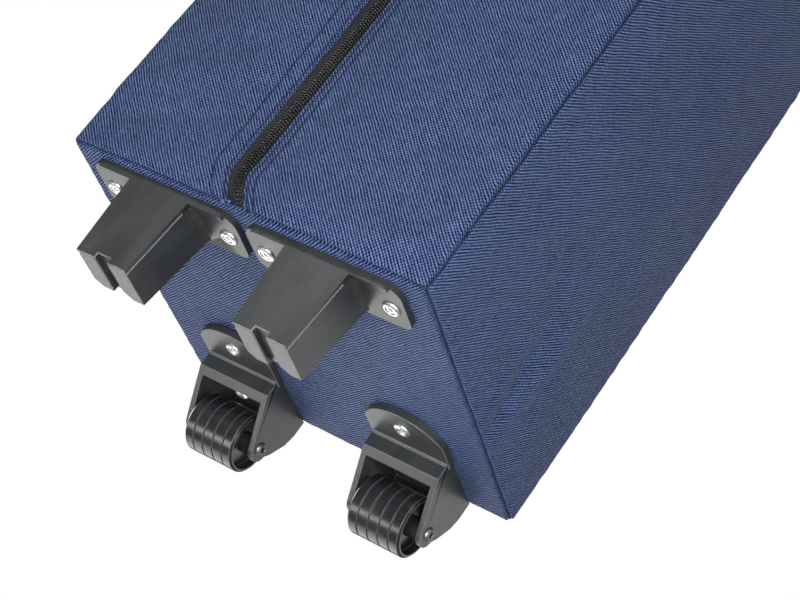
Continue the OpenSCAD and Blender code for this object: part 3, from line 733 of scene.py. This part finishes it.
@dataclass
class Panel:
    """One cut of cloth on the soft box, seen square on: u runs across it and v runs up it."""

    name: str
    shape: BagShape
    origin: Vector
    across: Vector
    upward: Vector
    left: Hem = Hem.SEWN
    right: Hem = Hem.SEWN
    left_edge: Callable[[float], float] | None = None
    right_edge: Callable[[float], float] | None = None
    swell: float = 6 * MM
    creases: Sequence[Crease] = ()
    gather: float = 0.9 * MM
    cell: float = 2.6 * MM
    thick: float = 1.2 * MM
    power: float = 0.6
    flange: int = 2
    grain: int = 1

    rows: Sequence[float] = ()

    @property
    def width(self) -> float:
        """Width of the whole side that the panel lies on."""
        return self.across.length

    @property
    def tall(self) -> float:
        """Height of the side."""
        return self.upward.length

    @property
    def out(self) -> Vector:
        """Outward normal of the side."""
        return self.across.cross(self.upward).normalized()

    def corners(self) -> tuple[Vector, Vector, Vector, Vector]:
        """The side's sharp corners: low left, low right, high left, high right."""
        low = self.origin
        return low, low + self.across, low + self.upward, low + self.across + self.upward

    def surface(self, u: float, v: float, lift: float = 0.0) -> Vector:
        """A point of the cloth.

        Args:
            u: Place across the side, in metres from its sharp left edge.
            v: Place up the side, in metres from its sharp low edge.
            lift: Height above the cloth.

        Returns:
            The point.
        """
        low_left, low_right, high_left, high_right = self.corners()
        sharp = self.origin + self.across.normalized() * u + self.upward.normalized() * v
        point, out = self.shape.soften(sharp)
        start = self.left_edge(v) if self.left_edge else 0.0
        end = self.right_edge(v) if self.right_edge else self.width
        a = min(max((u - start) / (end - start), 0.0), 1.0)
        b = min(max(v / self.tall, 0.0), 1.0)
        full = (4 * a * (1 - a)) ** self.power * (4 * b * (1 - b)) ** self.power
        rise = 0.0
        for hem, gap in ((self.left, u - start), (self.right, end - u)):
            if hem is Hem.OPEN:
                full *= min(1.0, 0.2 + max(gap, 0.0) / (32 * MM))
                rise += self.turned_edge(gap, v)
        rise += self.swell * full
        rise += sum(crease.lift(u / MM, v / MM) for crease in self.creases) * MM
        rise += noise.noise(sharp / (55 * MM)) * 1.5 * MM * min(1.0, full * 2)
        rise += noise.noise(sharp / (16 * MM)) * 0.35 * MM * min(1.0, full * 3)
        point = point + out * (rise + lift)
        for corner_a, corner_b, gap, share, sewn in (
            (low_left, high_left, u, b, self.left is Hem.SEWN),
            (low_right, high_right, self.width - u, b, self.right is Hem.SEWN),
            (low_left, low_right, v, u / self.width, True),
            (high_left, high_right, self.tall - v, u / self.width, True),
        ):
            if not sewn or gap > 45 * MM:
                continue
            share = min(max(share, 0.0), 1.0)
            fade = min(1.0, share * 12, (1 - share) * 12)
            wave = noise.noise(Vector((share * (corner_b - corner_a).length / (7.5 * MM), gap / (40 * MM), 3.0)))
            point = point + out * (self.gather * wave * fade * math.exp(-gap / (11 * MM)) * (1 - math.exp(-gap / (2 * MM))))
        return point

    def turned_edge(self, gap: float, v: float) -> float:
        """Height of the folded and topstitched cloth beside the zip.

        Args:
            gap: Distance from the fold.
            v: Place along the zip.
        """
        double = 1.0 * MM * min(1.0, max(0.0, (13 * MM - gap) / (3 * MM)))
        rolled = 1.1 * MM
        if gap < rolled:
            double -= rolled * (1 - math.sqrt(max(0.0, 1 - (1 - gap / rolled) ** 2)))
        for row in self.rows:
            pull = 0.85 + 0.35 * noise.noise(Vector((v / (3.1 * MM), row / MM, 0.0)))
            double -= pull * MM * math.exp(-(((gap - row) / (0.8 * MM)) ** 2))
        return double

    def border(self, u_share: float, v_share: float) -> tuple[Vector, Vector] | None:
        """The sewn line at a border of the panel, or nothing inside it."""
        low_left, low_right, high_left, high_right = self.corners()
        if u_share <= 0 and self.left is Hem.SEWN:
            return self.shape.seam(low_left, high_left, v_share)
        if u_share >= 1 and self.right is Hem.SEWN:
            return self.shape.seam(low_right, high_right, v_share)
        if v_share in (0.0, 1.0):
            start, end = (low_left, low_right) if v_share == 0.0 else (high_left, high_right)
            u = self.span(u_share, v_share)
            return self.shape.seam(start, end, min(max(u / self.width, 0.0), 1.0))
        return None

    def span(self, u_share: float, v_share: float) -> float:
        """Place across the side of a share of the panel's own width."""
        v = v_share * self.tall
        start = self.left_edge(v) if self.left_edge else 0.0
        end = self.right_edge(v) if self.right_edge else self.width
        return start + (end - start) * u_share

    def place(self, a: float, b: float) -> tuple[Vector, Vector]:
        """A point of the panel from its shares, with its seams pulled to their lines.

        Returns:
            The point and the outward direction.
        """
        u, v = self.span(a, b), b * self.tall
        point = self.surface(u, v)
        out = self.shape.soften(self.origin + self.across.normalized() * u + self.upward.normalized() * v)[1]
        reach = 1.5 * MM
        for edge_a, edge_b, gap in (
            (0.0, b, u), (1.0, b, self.width - u), (a, 0.0, v), (a, 1.0, self.tall - v),
        ):
            if gap > 3 * reach:
                continue
            line = self.border(edge_a, edge_b)
            if line is None:
                continue
            base = self.surface(self.span(edge_a, edge_b), edge_b * self.tall)
            point = point + (line[0] - base) * math.exp(-((gap / reach) ** 2))
        return point, out

    def ticks(self, length: float, left: Hem, right: Hem) -> list[float]:
        """Shares of a length at which the grid's lines lie, close together near its ends."""
        near = {Hem.SEWN: (0.5, 1.1, 1.8, 2.6, 3.6, 5.0, 6.8, 9.0),
                Hem.OPEN: (0.3, 0.7, 1.2, 1.9, 2.6, 3.3, 4.2, 5.2, 6.2, 6.9, 7.6, 8.5, 9.7, 10.8, 11.6, 12.4, 13.6)}
        start = [step * MM for step in near[left]]
        end = [length - step * MM for step in reversed(near[right])]
        count = max(1, round((end[0] - start[-1]) / self.cell))
        inner = [start[-1] + (end[0] - start[-1]) * i / count for i in range(1, count)]
        return [place / length for place in [0.0, *start, *inner, *end, length]]

    def build(self) -> bpy.types.Object:
        """Cuts, lays and thickens the panel."""
        wide = self.span(1.0, 0.5) - self.span(0.0, 0.5)
        ticks_a = self.ticks(wide, self.left, self.right)
        ticks_b = self.ticks(self.tall, Hem.SEWN, Hem.SEWN)
        columns, rows, extra = len(ticks_a) - 1, len(ticks_b) - 1, self.flange
        piece = new_grid(self.name, columns + 2 * extra, rows + 2 * extra)
        side, up = self.across.normalized(), self.upward.normalized()

        def shares(a: float, b: float) -> tuple[float, float, int, int]:
            i = round(a * (columns + 2 * extra)) - extra
            j = round(b * (rows + 2 * extra)) - extra
            inner_i, inner_j = min(max(i, 0), columns), min(max(j, 0), rows)
            return ticks_a[inner_i], ticks_b[inner_j], i - inner_i, j - inner_j

        def place(a: float, b: float) -> Vector:
            a, b, over_a, over_b = shares(a, b)
            line = self.border(a, b)
            if (a in (0.0, 1.0) or b in (0.0, 1.0)) and line is not None:
                point, out = line
            else:
                point, out = self.place(a, b)
            hem = self.left if over_a < 0 else self.right
            if over_a and hem is Hem.OPEN:
                turn = side * (1 if over_a < 0 else -1)
                point = point - self.out * 1.4 * MM + turn * (abs(over_a) - 1) * 5 * MM
            elif over_a:
                point = point - out * abs(over_a) * 1.8 * MM + side * math.copysign(0.3 * MM, over_a)
            if over_b:
                point = point - out * abs(over_b) * 1.8 * MM + up * math.copysign(0.3 * MM, over_b)
            return point

        def cloth(a: float, b: float) -> tuple[float, float]:
            a, b, over_a, over_b = shares(a, b)
            return self.span(a, b) + over_a * 2 * MM, self.grain * (b * self.tall + over_b * 2 * MM)

        ends = [shares(point.co.x + 0.5, point.co.y + 0.5)[:2] for point in piece.data.vertices]
        lay_grid(piece, place, cloth)
        # Painted shade for the seams and topstitch rows, 0 to 1, kept on the points.
        shade = piece.data.attributes.new(PAINTED_SEAM_SHADE, "FLOAT", "POINT")
        shade.data.foreach_set("value", [self.seam_shade(a, b) for a, b in ends])
        apply_modifier(piece, "SOLIDIFY", thickness=self.thick, offset=-1.0)
        smooth(piece, 70)
        return piece

    def seam_shade(self, a: float, b: float) -> float:
        """How much painted shade darkens the cloth, 0 to 1, in its seams and under its stitches, where the grooves fall
        in shade.
        """
        v = b * self.tall
        gaps = [v, self.tall - v]
        u, start, end = self.span(a, b), self.span(0.0, b), self.span(1.0, b)
        shade = 0.0
        for hem, gap in ((self.left, u - start), (self.right, end - u)):
            if hem is Hem.SEWN:
                gaps.append(gap)
            else:
                shade = max([shade] + [math.exp(-(((gap - row) / (0.55 * MM)) ** 2)) for row in self.rows])
        uneven = 0.75 + 0.5 * noise.noise(Vector((u / (6 * MM), v / (6 * MM), 1.0)))
        return max([shade] + [uneven * math.exp(-((gap / (0.6 * MM)) ** 2)) for gap in gaps])


@dataclass
class Bag:
    """The fabric body: its cloth panels round the soft box, and the thread that sews them."""

    shape: BagShape = field(default_factory=BagShape)
    bend: float = 15 * MM
    bend_from: float = 26 * MM
    stitch: float = 2.3 * MM
    pitch: float = 3.2 * MM
    thread: float = 0.3 * MM
    allowance: float = 10 * MM
    near: float = 1.5 * MM
    nearer: float = 1.3 * MM

    def low_fold(self, v: float) -> float:
        """Where the right fold stands beside the zip: closer in its lowest part, which the slider never reaches."""
        return self.zip_drift(v) - self.nearer * min(1.0, max(0.0, 1 - (v - 20 * MM) / (14 * MM)))

    def zip_drift(self, v: float) -> float:
        """How far the zip's line runs aside at a height above the bag's low edge."""
        share = min(1.0, max(0.0, 1 - v / self.bend_from))
        return self.bend * share ** 1.6

    def panels(self) -> list[Panel]:
        """Lays out every panel."""
        low, high = self.shape.low, self.shape.high
        x, y, z = high - low
        across, deep, tall = Vector((x, 0, 0)), Vector((0, y, 0)), Vector((0, 0, z))
        window_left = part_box("front_panel_left")[1].x - low.x - 0.8 * MM
        window_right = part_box("front_panel_right")[0].x - low.x - self.near
        return [
            Panel("front_cloth_left", self.shape, Vector(low), across, tall, right=Hem.OPEN,
                  right_edge=lambda v: window_left + self.zip_drift(v), swell=6 * MM, rows=(1.9 * MM, 11.2 * MM),
                  creases=[Crease((5, 45), (80, 95), 9, 2.4), Crease((8, 22), (95, 60), 9, -2.2),
                           Crease((20, 90), (98, 150), 12, 2.0), Crease((30, 8), (92, 20), 5, 1.4),
                           Crease((60, 60), (100, 90), 6, -1.2), Crease((4, 120), (70, 175), 11, -1.8)]),
            Panel("front_cloth_right", self.shape, Vector(low), across, tall, left=Hem.OPEN,
                  left_edge=lambda v: window_right + self.low_fold(v), swell=8 * MM, rows=(2.6 * MM, 7.0 * MM),
                  creases=[Crease((125, 16), (238, 18), 17, 4.2), Crease((160, 40), (182, 62), 2.4, 0.8),
                           Crease((150, 12), (172, 26), 2.4, 0.8), Crease((185, 24), (205, 40), 2.6, 0.8),
                           Crease((238, 20), (243, 110), 8, 2.2), Crease((205, 8), (238, 34), 5, 1.2),
                           Crease((170, 95), (205, 125), 4, 0.9), Crease((135, 60), (150, 110), 5, 0.9),
                           Crease((190, 60), (225, 120), 10, -1.6)]),
            Panel("side_cloth_right", self.shape, low + across, deep, tall, swell=8 * MM, grain=-1,
                  creases=[Crease((150, 2), (128, 74), 7, -2.6), Crease((129, 70), (86, 104), 7, -2.0),
                           Crease((139, 4), (112, 56), 6, 1.8), Crease((160, 4), (150, 112), 9, 2.0),
                           Crease((210, 8), (175, 80), 12, 1.6), Crease((60, 10), (80, 60), 10, -1.3),
                           Crease((10, 30), (60, 100), 8, 1.2), Crease((8, 6), (30, 40), 4, 0.9),
                           Crease((90, 140), (190, 230), 16, 1.8), Crease((30, 200), (150, 330), 14, -2.0)]),
            Panel("back_cloth", self.shape, high - tall, -across, tall, swell=5 * MM,
                  creases=[Crease((40, 60), (180, 130), 14, 1.6), Crease((70, 250), (200, 210), 12, -1.6)]),
            Panel("side_cloth_left", self.shape, low + deep, -deep, tall, swell=8 * MM, grain=-1,
                  creases=[Crease((60, 30), (150, 120), 12, 2.0), Crease((90, 200), (200, 300), 14, -1.8),
                           Crease((30, 330), (120, 260), 10, 1.5)]),
            Panel("bottom_cloth", self.shape, low + deep, across, -deep, swell=0.0, gather=0.7 * MM, grain=-1),
            Panel("top_cloth", self.shape, low + tall, across, deep, swell=-2 * MM, gather=0.8 * MM),
        ]

    def topstitch(self, panel: Panel) -> None:
        """Sews the rows beside the zip, one stitch after another."""
        left_side = panel.right is Hem.OPEN
        edge = panel.right_edge if left_side else panel.left_edge
        turn = -1 if left_side else 1
        unit = loft(panel.name + "_thread", [
            (Vector((0, 0, z * self.stitch)), Vector((r * self.thread, 0, 0)), Vector((0, r * self.thread, 0)))
            for z, r in ((-0.5, 0.15), (-0.38, 0.9), (0.38, 0.9), (0.5, 0.15))], 6)
        smooth(unit)
        places = []
        for row in panel.rows:
            for i in range(int((panel.tall - 14 * MM) / self.pitch)):
                ends = []
                for v in (6 * MM + i * self.pitch, 6 * MM + i * self.pitch + self.stitch):
                    ends.append(panel.surface(edge(v) + turn * row, v, 0.15 * MM))
                z = (ends[1] - ends[0]).normalized()
                x = z.cross(panel.out).normalized()
                places.append(basis((ends[0] + ends[1]) / 2, x, z.cross(x), z))
        deliver(strew(unit, places), Finish.NAVY_THREAD)

    def build(self) -> None:
        stands_for = {
            "front_cloth_left": "front_panel_left", "front_cloth_right": "front_panel_right",
            "side_cloth_right": "side_panel_right", "side_cloth_left": "side_panel_left",
            "back_cloth": "back_panel", "bottom_cloth": "bottom_panel", "top_cloth": "top_panel",
        }
        for panel in self.panels():
            piece = deliver(panel.build(), Finish.NAVY_FABRIC, [stands_for[panel.name]])
            wide = panel.span(1.0, 0.5) - panel.span(0.0, 0.5)
            wide + self.allowance
            if panel.rows:
                self.topstitch(panel)


# ---------- zip ----------


@dataclass
class Zip:
    """The front zip: two woven tapes and the two interlocked halves of a nylon coil."""

    bag: Bag
    pitch: float = 1.9 * MM
    wire: float = 0.40 * MM
    overlap: float = 0.45 * MM
    points: int = 10
    tape_thick: float = 0.7 * MM

    def __post_init__(self) -> None:
        """Takes the zip's middle line from the frame."""
        left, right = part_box("zip_coil_left"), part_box("zip_coil_right")
        self.middle = (left[0].x + right[1].x) / 2
        self.reach = (right[1].x - left[0].x) / 2
        self.face, self.back = left[0].y, left[1].y

    def sink(self, z: float) -> float:
        """How far the zip's low end dips behind the bottom seam at a height above the ground."""
        share = min(1.0, max(0.0, 1 - (z - self.bag.shape.low.z) / (10 * MM)))
        return 3.4 * MM * share

    def line(self, z: float) -> float:
        """The zip's middle, across the bag, at a height above the ground."""
        return self.middle + self.bag.zip_drift(z - self.bag.shape.low.z)

    def coil(self, side: int) -> None:
        """Winds one half of the coil, flattened, with its heads meshed into the other half's.

        Args:
            side: 1 for the right half and -1 for the left.
        """
        name = "zip_coil_right" if side > 0 else "zip_coil_left"
        low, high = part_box(name)
        turns = int((high.z - low.z) / self.pitch)
        half = (self.reach - self.wire + self.overlap) / 2
        depth = (self.back - self.face) / 2 - self.wire
        path = []
        for i in range(turns * self.points):
            angle = TAU * i / self.points
            z = low.z + self.pitch * (i / self.points + (0.5 if side > 0 else 0.0))
            x = half - self.overlap + half * math.copysign(abs(math.cos(angle)) ** 0.8, math.cos(angle))
            y = (self.face + self.back) / 2 - depth * math.copysign(abs(math.sin(angle)) ** 0.7, math.sin(angle))
            path.append(Vector((self.line(z) + side * x, y + self.sink(z), z)))
        rings = []
        for i, point in enumerate(path):
            run = (path[min(i + 1, len(path) - 1)] - path[max(i - 1, 0)]).normalized()
            wide = run.cross(Vector((0.1, 0.2, 1.0))).normalized()
            rings.append((point, wide * self.wire, run.cross(wide) * self.wire))
        piece = loft(name + "_wire", rings, 5)
        smooth(piece, 80)
        deliver(piece, Finish.ZIP_COIL, [name])

    def tape(self, side: int) -> None:
        """Lays one tape behind the coil."""
        name = "zip_tape_right" if side > 0 else "zip_tape_left"
        low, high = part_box(name)
        wide, tall = high.x - low.x, high.z - low.z
        piece = new_grid(name + "_strip", 8, 180)

        def place(a: float, b: float) -> Vector:
            z = low.z + b * tall
            x = 0.3 * MM + (a if side > 0 else 1 - a) * (wide - 0.3 * MM)
            wave = 0.12 * MM * noise.noise(Vector((x * 300, z * 60, side)))
            return Vector((self.line(z) + side * x, low.y + wave + self.sink(z), z))

        lay_grid(piece, place, lambda a, b: (a * wide, b * tall))
        apply_modifier(piece, "SOLIDIFY", thickness=self.tape_thick, offset=-1.0)
        smooth(piece)
        deliver(piece, Finish.ZIP_TAPE, [name])

    def stops(self) -> None:
        """Bends the four end stops round the coil's ends."""
        low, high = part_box("zip_end_stops")
        unit = loft("zip_end_crimps", [
            (Vector((0, 0, z)), Vector((r * 1.5 * MM, 0, 0)), Vector((0, r * 1.1 * MM, 0)))
            for z, r in ((-1.1 * MM, 0.6), (-0.8 * MM, 1.0), (0.8 * MM, 1.0), (1.1 * MM, 0.6))], 16, 0.6)
        smooth(unit)
        places = []
        for z in (low.z + 1.2 * MM, high.z - 1.6 * MM):
            for side in (-1, 1):
                middle = Vector((self.line(z) + side * 2.3 * MM, (self.face + self.back) / 2 + 1.7 * self.sink(z), z))
                places.append(Matrix.Translation(middle))
        deliver(strew(unit, places), Finish.PLAIN_STEEL, ["zip_end_stops"])

    def build(self) -> None:
        """Builds the tapes, the coil and its end stops."""
        for side in (-1, 1):
            self.tape(side)
            self.coil(side)
        self.stops()


# ---------- carry loops ----------


@dataclass
class CarryLoops:
    """Two webbing loops, sewn flat to the front and the back, and folded round the hand at the top."""

    sewn: float = 70 * MM
    grip_wide: float = 16 * MM
    grip_thick: float = 4.6 * MM
    steps: int = 40

    def stations(self, node: str) -> list[tuple[Vector, Vector, Vector]]:
        """The webbing's sections along one loop.

        Args:
            node: The frame's loop.

        Returns:
            Each section's middle and its two half-widths.
        """
        low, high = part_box(node)
        web, thick = 28 * MM, high.y - low.y
        bend, foot = (high.x - low.x - web) / 2, low.z + self.sewn
        rise = high.z - foot - web / 2
        y = (low.y + high.y) / 2
        path = [(-bend, foot - self.sewn + self.sewn * i / 8, -90.0) for i in range(8)]
        for i in range(self.steps + 1):
            turn = math.pi * (1 - i / self.steps)
            path.append((bend * math.cos(turn), foot + rise * math.sin(turn), math.degrees(turn)))
        path += [(bend, foot - self.sewn * i / 8, -90.0) for i in range(1, 9)]
        rings = []
        for i, (x, z, turn) in enumerate(path):
            before, after = path[max(i - 1, 0)], path[min(i + 1, len(path) - 1)]
            run = Vector((after[0] - before[0], 0, after[1] - before[1])).normalized()
            fold = 0.0
            if turn >= 0:
                fold = min(1.0, max(0.0, (math.sin(math.radians(turn)) - 0.45) / 0.4))
                fold = fold * fold * (3 - 2 * fold)
            wide = web + (self.grip_wide - web) * fold
            deep = thick + (self.grip_thick - thick) * fold
            shift = (deep - thick) / 2 * (1 if y > 0 else -1)
            rings.append((Vector((x, y + shift, z)), run.cross(Vector((0, 1, 0))) * (wide / 2), Vector((0, deep / 2, 0))))
        return rings

    def stitches(self, node: str) -> None:
        """Sews each end of a loop down with a crossed box."""
        low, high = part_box(node)
        outward = -1 if low.y < 0 else 1
        y = (low.y if outward < 0 else high.y) + outward * 0.05 * MM
        unit = loft(node + "_thread", [
            (Vector((z * 2.3 * MM, 0, 0)), Vector((0, r * 0.28 * MM, 0)), Vector((0, 0, r * 0.28 * MM)))
            for z, r in ((-0.5, 0.15), (-0.38, 0.9), (0.38, 0.9), (0.5, 0.15))], 6)
        smooth(unit)
        places = []
        for centre in (low.x + 14 * MM, high.x - 14 * MM):
            box = [(centre + x * 10.5 * MM, low.z + z * MM) for x, z in ((-1, 5), (1, 5), (1, 38), (-1, 38))]
            runs = [(box[i], box[(i + 1) % 4]) for i in range(4)] + [(box[0], box[2]), (box[1], box[3])]
            for start, end in runs:
                a, b = Vector((start[0], y, start[1])), Vector((end[0], y, end[1]))
                run = (b - a).normalized()
                count = int((b - a).length / (3.1 * MM))
                for i in range(count):
                    middle = a.lerp(b, (i + 0.5) / count)
                    places.append(basis(middle, run, Vector((0, 1, 0)), run.cross(Vector((0, 1, 0)))))
        deliver(strew(unit, places), Finish.NAVY_THREAD)

    def build(self) -> None:
        """Builds both loops."""
        for node in ("carry_loop_front", "carry_loop_back"):
            rings = self.stations(node)
            piece = loft(node + "_strap", rings, 28, 0.45)
            smooth(piece, 60)
            deliver(piece, Finish.WEBBING, [node])
            self.stitches(node)


# ---------- studio ----------


@dataclass
class Studio:
    """A pale floor, a plain white room with soft lights, and the camera low in front of the trolley."""

    azimuth: float = 31.23
    elevation: float = -22.45
    roll: float = 36.56
    distance: float = 0.9424
    lens: float = 81.48
    aim_in: Vector = field(default_factory=lambda: Vector((-22.3, 21.7, 0.0)) * MM)

    def camera(self, corner: Vector) -> None:
        """Places the camera.

        Args:
            corner: The bag's low front right corner, beside which the camera aims.
        """
        turn, tilt, roll = (math.radians(a) for a in (self.azimuth, self.elevation, self.roll))
        back = Vector((math.sin(turn) * math.cos(tilt), -math.cos(turn) * math.cos(tilt), math.sin(tilt)))
        level = Vector((math.cos(turn), math.sin(turn), 0.0))
        upright = back.cross(level)
        right = level * math.cos(roll) + upright * math.sin(roll)
        up = upright * math.cos(roll) - level * math.sin(roll)
        data = bpy.data.cameras.new("camera")
        data.lens = self.lens
        data.sensor_width = 36.0
        camera = bpy.data.objects.new("camera", data)
        bpy.context.scene.collection.objects.link(camera)
        axes = Matrix((right, up, back)).transposed()
        camera.matrix_world = Matrix.Translation(corner + self.aim_in + back * self.distance) @ axes.to_4x4()
        bpy.context.scene.camera = camera

    def light(self, name: str, place: Sequence[float], target: Vector, size: float, power: float) -> None:
        """Adds a square soft light that looks at a target."""
        data = bpy.data.lights.new(name, "AREA")
        data.size = size
        data.energy = power
        lamp = bpy.data.objects.new(name, data)
        bpy.context.scene.collection.objects.link(lamp)
        lamp.location = Vector(place)
        lamp.rotation_mode = "QUATERNION"
        lamp.rotation_quaternion = (target - Vector(place)).to_track_quat("-Z", "Y")
        lamp.visible_camera = False

    def floor(self) -> None:
        """Adds the floor, which is seen from above only, so that it never stands between the camera and the trolley."""
        bpy.ops.object.select_all(action="DESELECT")
        bpy.ops.mesh.primitive_circle_add(vertices=96, radius=6.0, fill_type="NGON")
        floor = bpy.context.active_object
        floor.name = "floor"
        material = bpy.data.materials.new("pale floor")
        material.use_nodes = True
        tree = material.node_tree
        surface = tree.nodes["Principled BSDF"]
        surface.inputs["Base Color"].default_value = (0.80, 0.80, 0.79, 1.0)
        surface.inputs["Roughness"].default_value = 0.9
        surface.inputs["Emission Color"].default_value = (0.98, 0.98, 1.0, 1.0)
        surface.inputs["Emission Strength"].default_value = 0.65
        mix = tree.nodes.new("ShaderNodeMixShader")
        clear = tree.nodes.new("ShaderNodeBsdfTransparent")
        side = tree.nodes.new("ShaderNodeNewGeometry")
        tree.links.new(side.outputs["Backfacing"], mix.inputs[0])
        tree.links.new(surface.outputs[0], mix.inputs[1])
        tree.links.new(clear.outputs[0], mix.inputs[2])
        tree.links.new(mix.outputs[0], tree.nodes["Material Output"].inputs["Surface"])
        floor.data.materials.append(material)
        for ray in ("diffuse", "glossy", "transmission", "volume_scatter", "shadow"):
            setattr(floor, "visible_" + ray, False)

    def room(self) -> None:
        """Surrounds the scene with plain white, dimmer as a light than it looks."""
        world = bpy.data.worlds.new("white room")
        bpy.context.scene.world = world
        world.use_nodes = True
        tree = world.node_tree
        tree.nodes["Background"].inputs["Strength"].default_value = 0.2
        seen = tree.nodes.new("ShaderNodeBackground")
        seen.inputs["Strength"].default_value = 1.0
        for back in (seen, tree.nodes["Background"]):
            back.inputs["Color"].default_value = (1.0, 1.0, 1.0, 1.0)
        path = tree.nodes.new("ShaderNodeLightPath")
        mix = tree.nodes.new("ShaderNodeMixShader")
        tree.links.new(path.outputs["Is Camera Ray"], mix.inputs[0])
        tree.links.new(tree.nodes["Background"].outputs[0], mix.inputs[1])
        tree.links.new(seen.outputs[0], mix.inputs[2])
        tree.links.new(mix.outputs[0], tree.nodes["World Output"].inputs["Surface"])

    def build(self, shape: BagShape) -> None:
        """Sets up the whole studio round the bag."""
        bpy.context.scene.view_settings.view_transform = "Standard"
        corner = Vector((shape.high.x, shape.low.y, shape.low.z))
        self.camera(corner)
        self.floor()
        self.room()
        middle = Vector((0.0, 0.0, 0.2))
        self.light("front_left_light", (-1.2, -1.6, 0.6), middle, 1.2, 1.0)
        self.light("edge_light", (1.45, -0.9, 0.9), middle, 0.4, 4.0)
        self.light("low_front_light", (0.2, -1.0, -1.3), middle, 1.2, 3.0)
        self.light("near_low_light", (0.3, -0.6, -0.45), middle, 0.5, 3.5)
        self.light("near_right_light", (0.62, -0.62, -0.18), middle, 0.5, 4.0)
        self.light("low_back_light", (-0.7, 1.1, -0.9), middle, 1.3, 12.0)
        self.light("low_right_light", (1.7, -0.5, -0.5), middle, 1.2, 2.0)
        self.light("low_left_light", (-0.8, -0.7, -1.15), middle, 0.45, 6.0)
        self.light("back_right_light", (1.1, 1.7, 0.8), middle, 1.2, 5.5)
        self.light("back_left_light", (-1.6, 1.5, 1.0), middle, 1.4, 30.0)
        self.light("top_light", (0.0, -0.1, 2.2), middle, 1.4, 12.0)
        self.light("glint", (-0.8, -1.4, 1.1), middle, 0.2, 7.5)


# ---------- hard parts ----------


@dataclass
class HardParts:
    """The moulded and metal parts, with the edges that a mould or a press leaves."""

    edges: dict[str, Easing] = field(default_factory=lambda: {
        "foot_left": Easing(Finish.FOOT_PLASTIC, 0.9 * MM, 51 * MM),
        "foot_right": Easing(Finish.FOOT_PLASTIC, 0.9 * MM, 51 * MM),
        "bracket_left": Easing(Finish.BRACKET_PLASTIC, 0.5 * MM),
        "bracket_right": Easing(Finish.BRACKET_PLASTIC, 0.5 * MM),
        "foot_rivets": Easing(Finish.RIVET_METAL, 0.12 * MM),
        "bracket_rivets": Easing(Finish.RIVET_METAL, 0.12 * MM),
        "wheel_left": Easing(Finish.ROLLER_PLASTIC, 0.25 * MM),
        "wheel_right": Easing(Finish.ROLLER_PLASTIC, 0.25 * MM),
        "axle_left": Easing(Finish.PLAIN_STEEL, 0.15 * MM),
        "axle_right": Easing(Finish.PLAIN_STEEL, 0.15 * MM),
        "handle_collar": Easing(Finish.HANDLE_PLASTIC, 0.5 * MM),
        "grip_lower": Easing(Finish.HANDLE_PLASTIC, 0.3 * MM),
        "grip_upper": Easing(Finish.HANDLE_PLASTIC, 0.3 * MM),
        "release_button": Easing(Finish.BUTTON_PLASTIC, 0.4 * MM),
        "zip_slider": Easing(Finish.BLACK_ENAMEL, 0.2 * MM),
        "zip_pull": Easing(Finish.BLACK_ENAMEL, 0.25 * MM),
        "collar_screws": Easing(Finish.PLAIN_STEEL, 0.12 * MM),
        "grip_screws": Easing(Finish.PLAIN_STEEL, 0.12 * MM),
    })
    spring_turns: int = 6
    spring_wire: float = 0.3 * MM
    button_travel: float = 4 * MM

    def spring(self) -> None:
        """Winds the button's spring."""
        low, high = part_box("button_spring")
        middle, tall = (low + high) / 2, high.z - low.z
        radius = (high.x - low.x) / 2 - self.spring_wire
        rings, steps = [], self.spring_turns * 14
        for i in range(steps + 1):
            angle = TAU * self.spring_turns * i / steps
            spoke = Vector((math.cos(angle), math.sin(angle), 0.0))
            z = low.z + self.spring_wire + (tall - 2 * self.spring_wire) * i / steps
            place = Vector((middle.x, middle.y, z)) + spoke * radius
            rings.append((place, spoke * self.spring_wire, Vector((0, 0, self.spring_wire))))
        piece = loft("button_spring_wire", rings, 8)
        smooth(piece, 80)
        deliver(piece, Finish.PLAIN_STEEL, ["button_spring"], body_of_node("button_spring"))
        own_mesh(piece)

    def build(self) -> None:
        """Eases the parts that show, winds the spring, and dresses the rest as they are."""
        for node, easing in self.edges.items():
            eased(node, easing)
        self.spring()
        slots = {row["node"]: row["material_slot"] for row in frame["record"]["subparts"]}
        for node, cad in frame["nodes"].items():
            if cad.hide_render:
                continue
            cad.data.materials.clear()
            cad.data.materials.append(Finish[slots[node].upper()].material())


def main() -> None:
    """Builds the trolley and its studio."""
    logging.basicConfig(level=logging.INFO, format="%(message)s")
    bag = Bag()
    Studio().build(bag.shape)
    bag.build()
    Zip(bag).build()
    CarryLoops().build()
    HardParts().build()


if __name__ == "__main__":
    main()
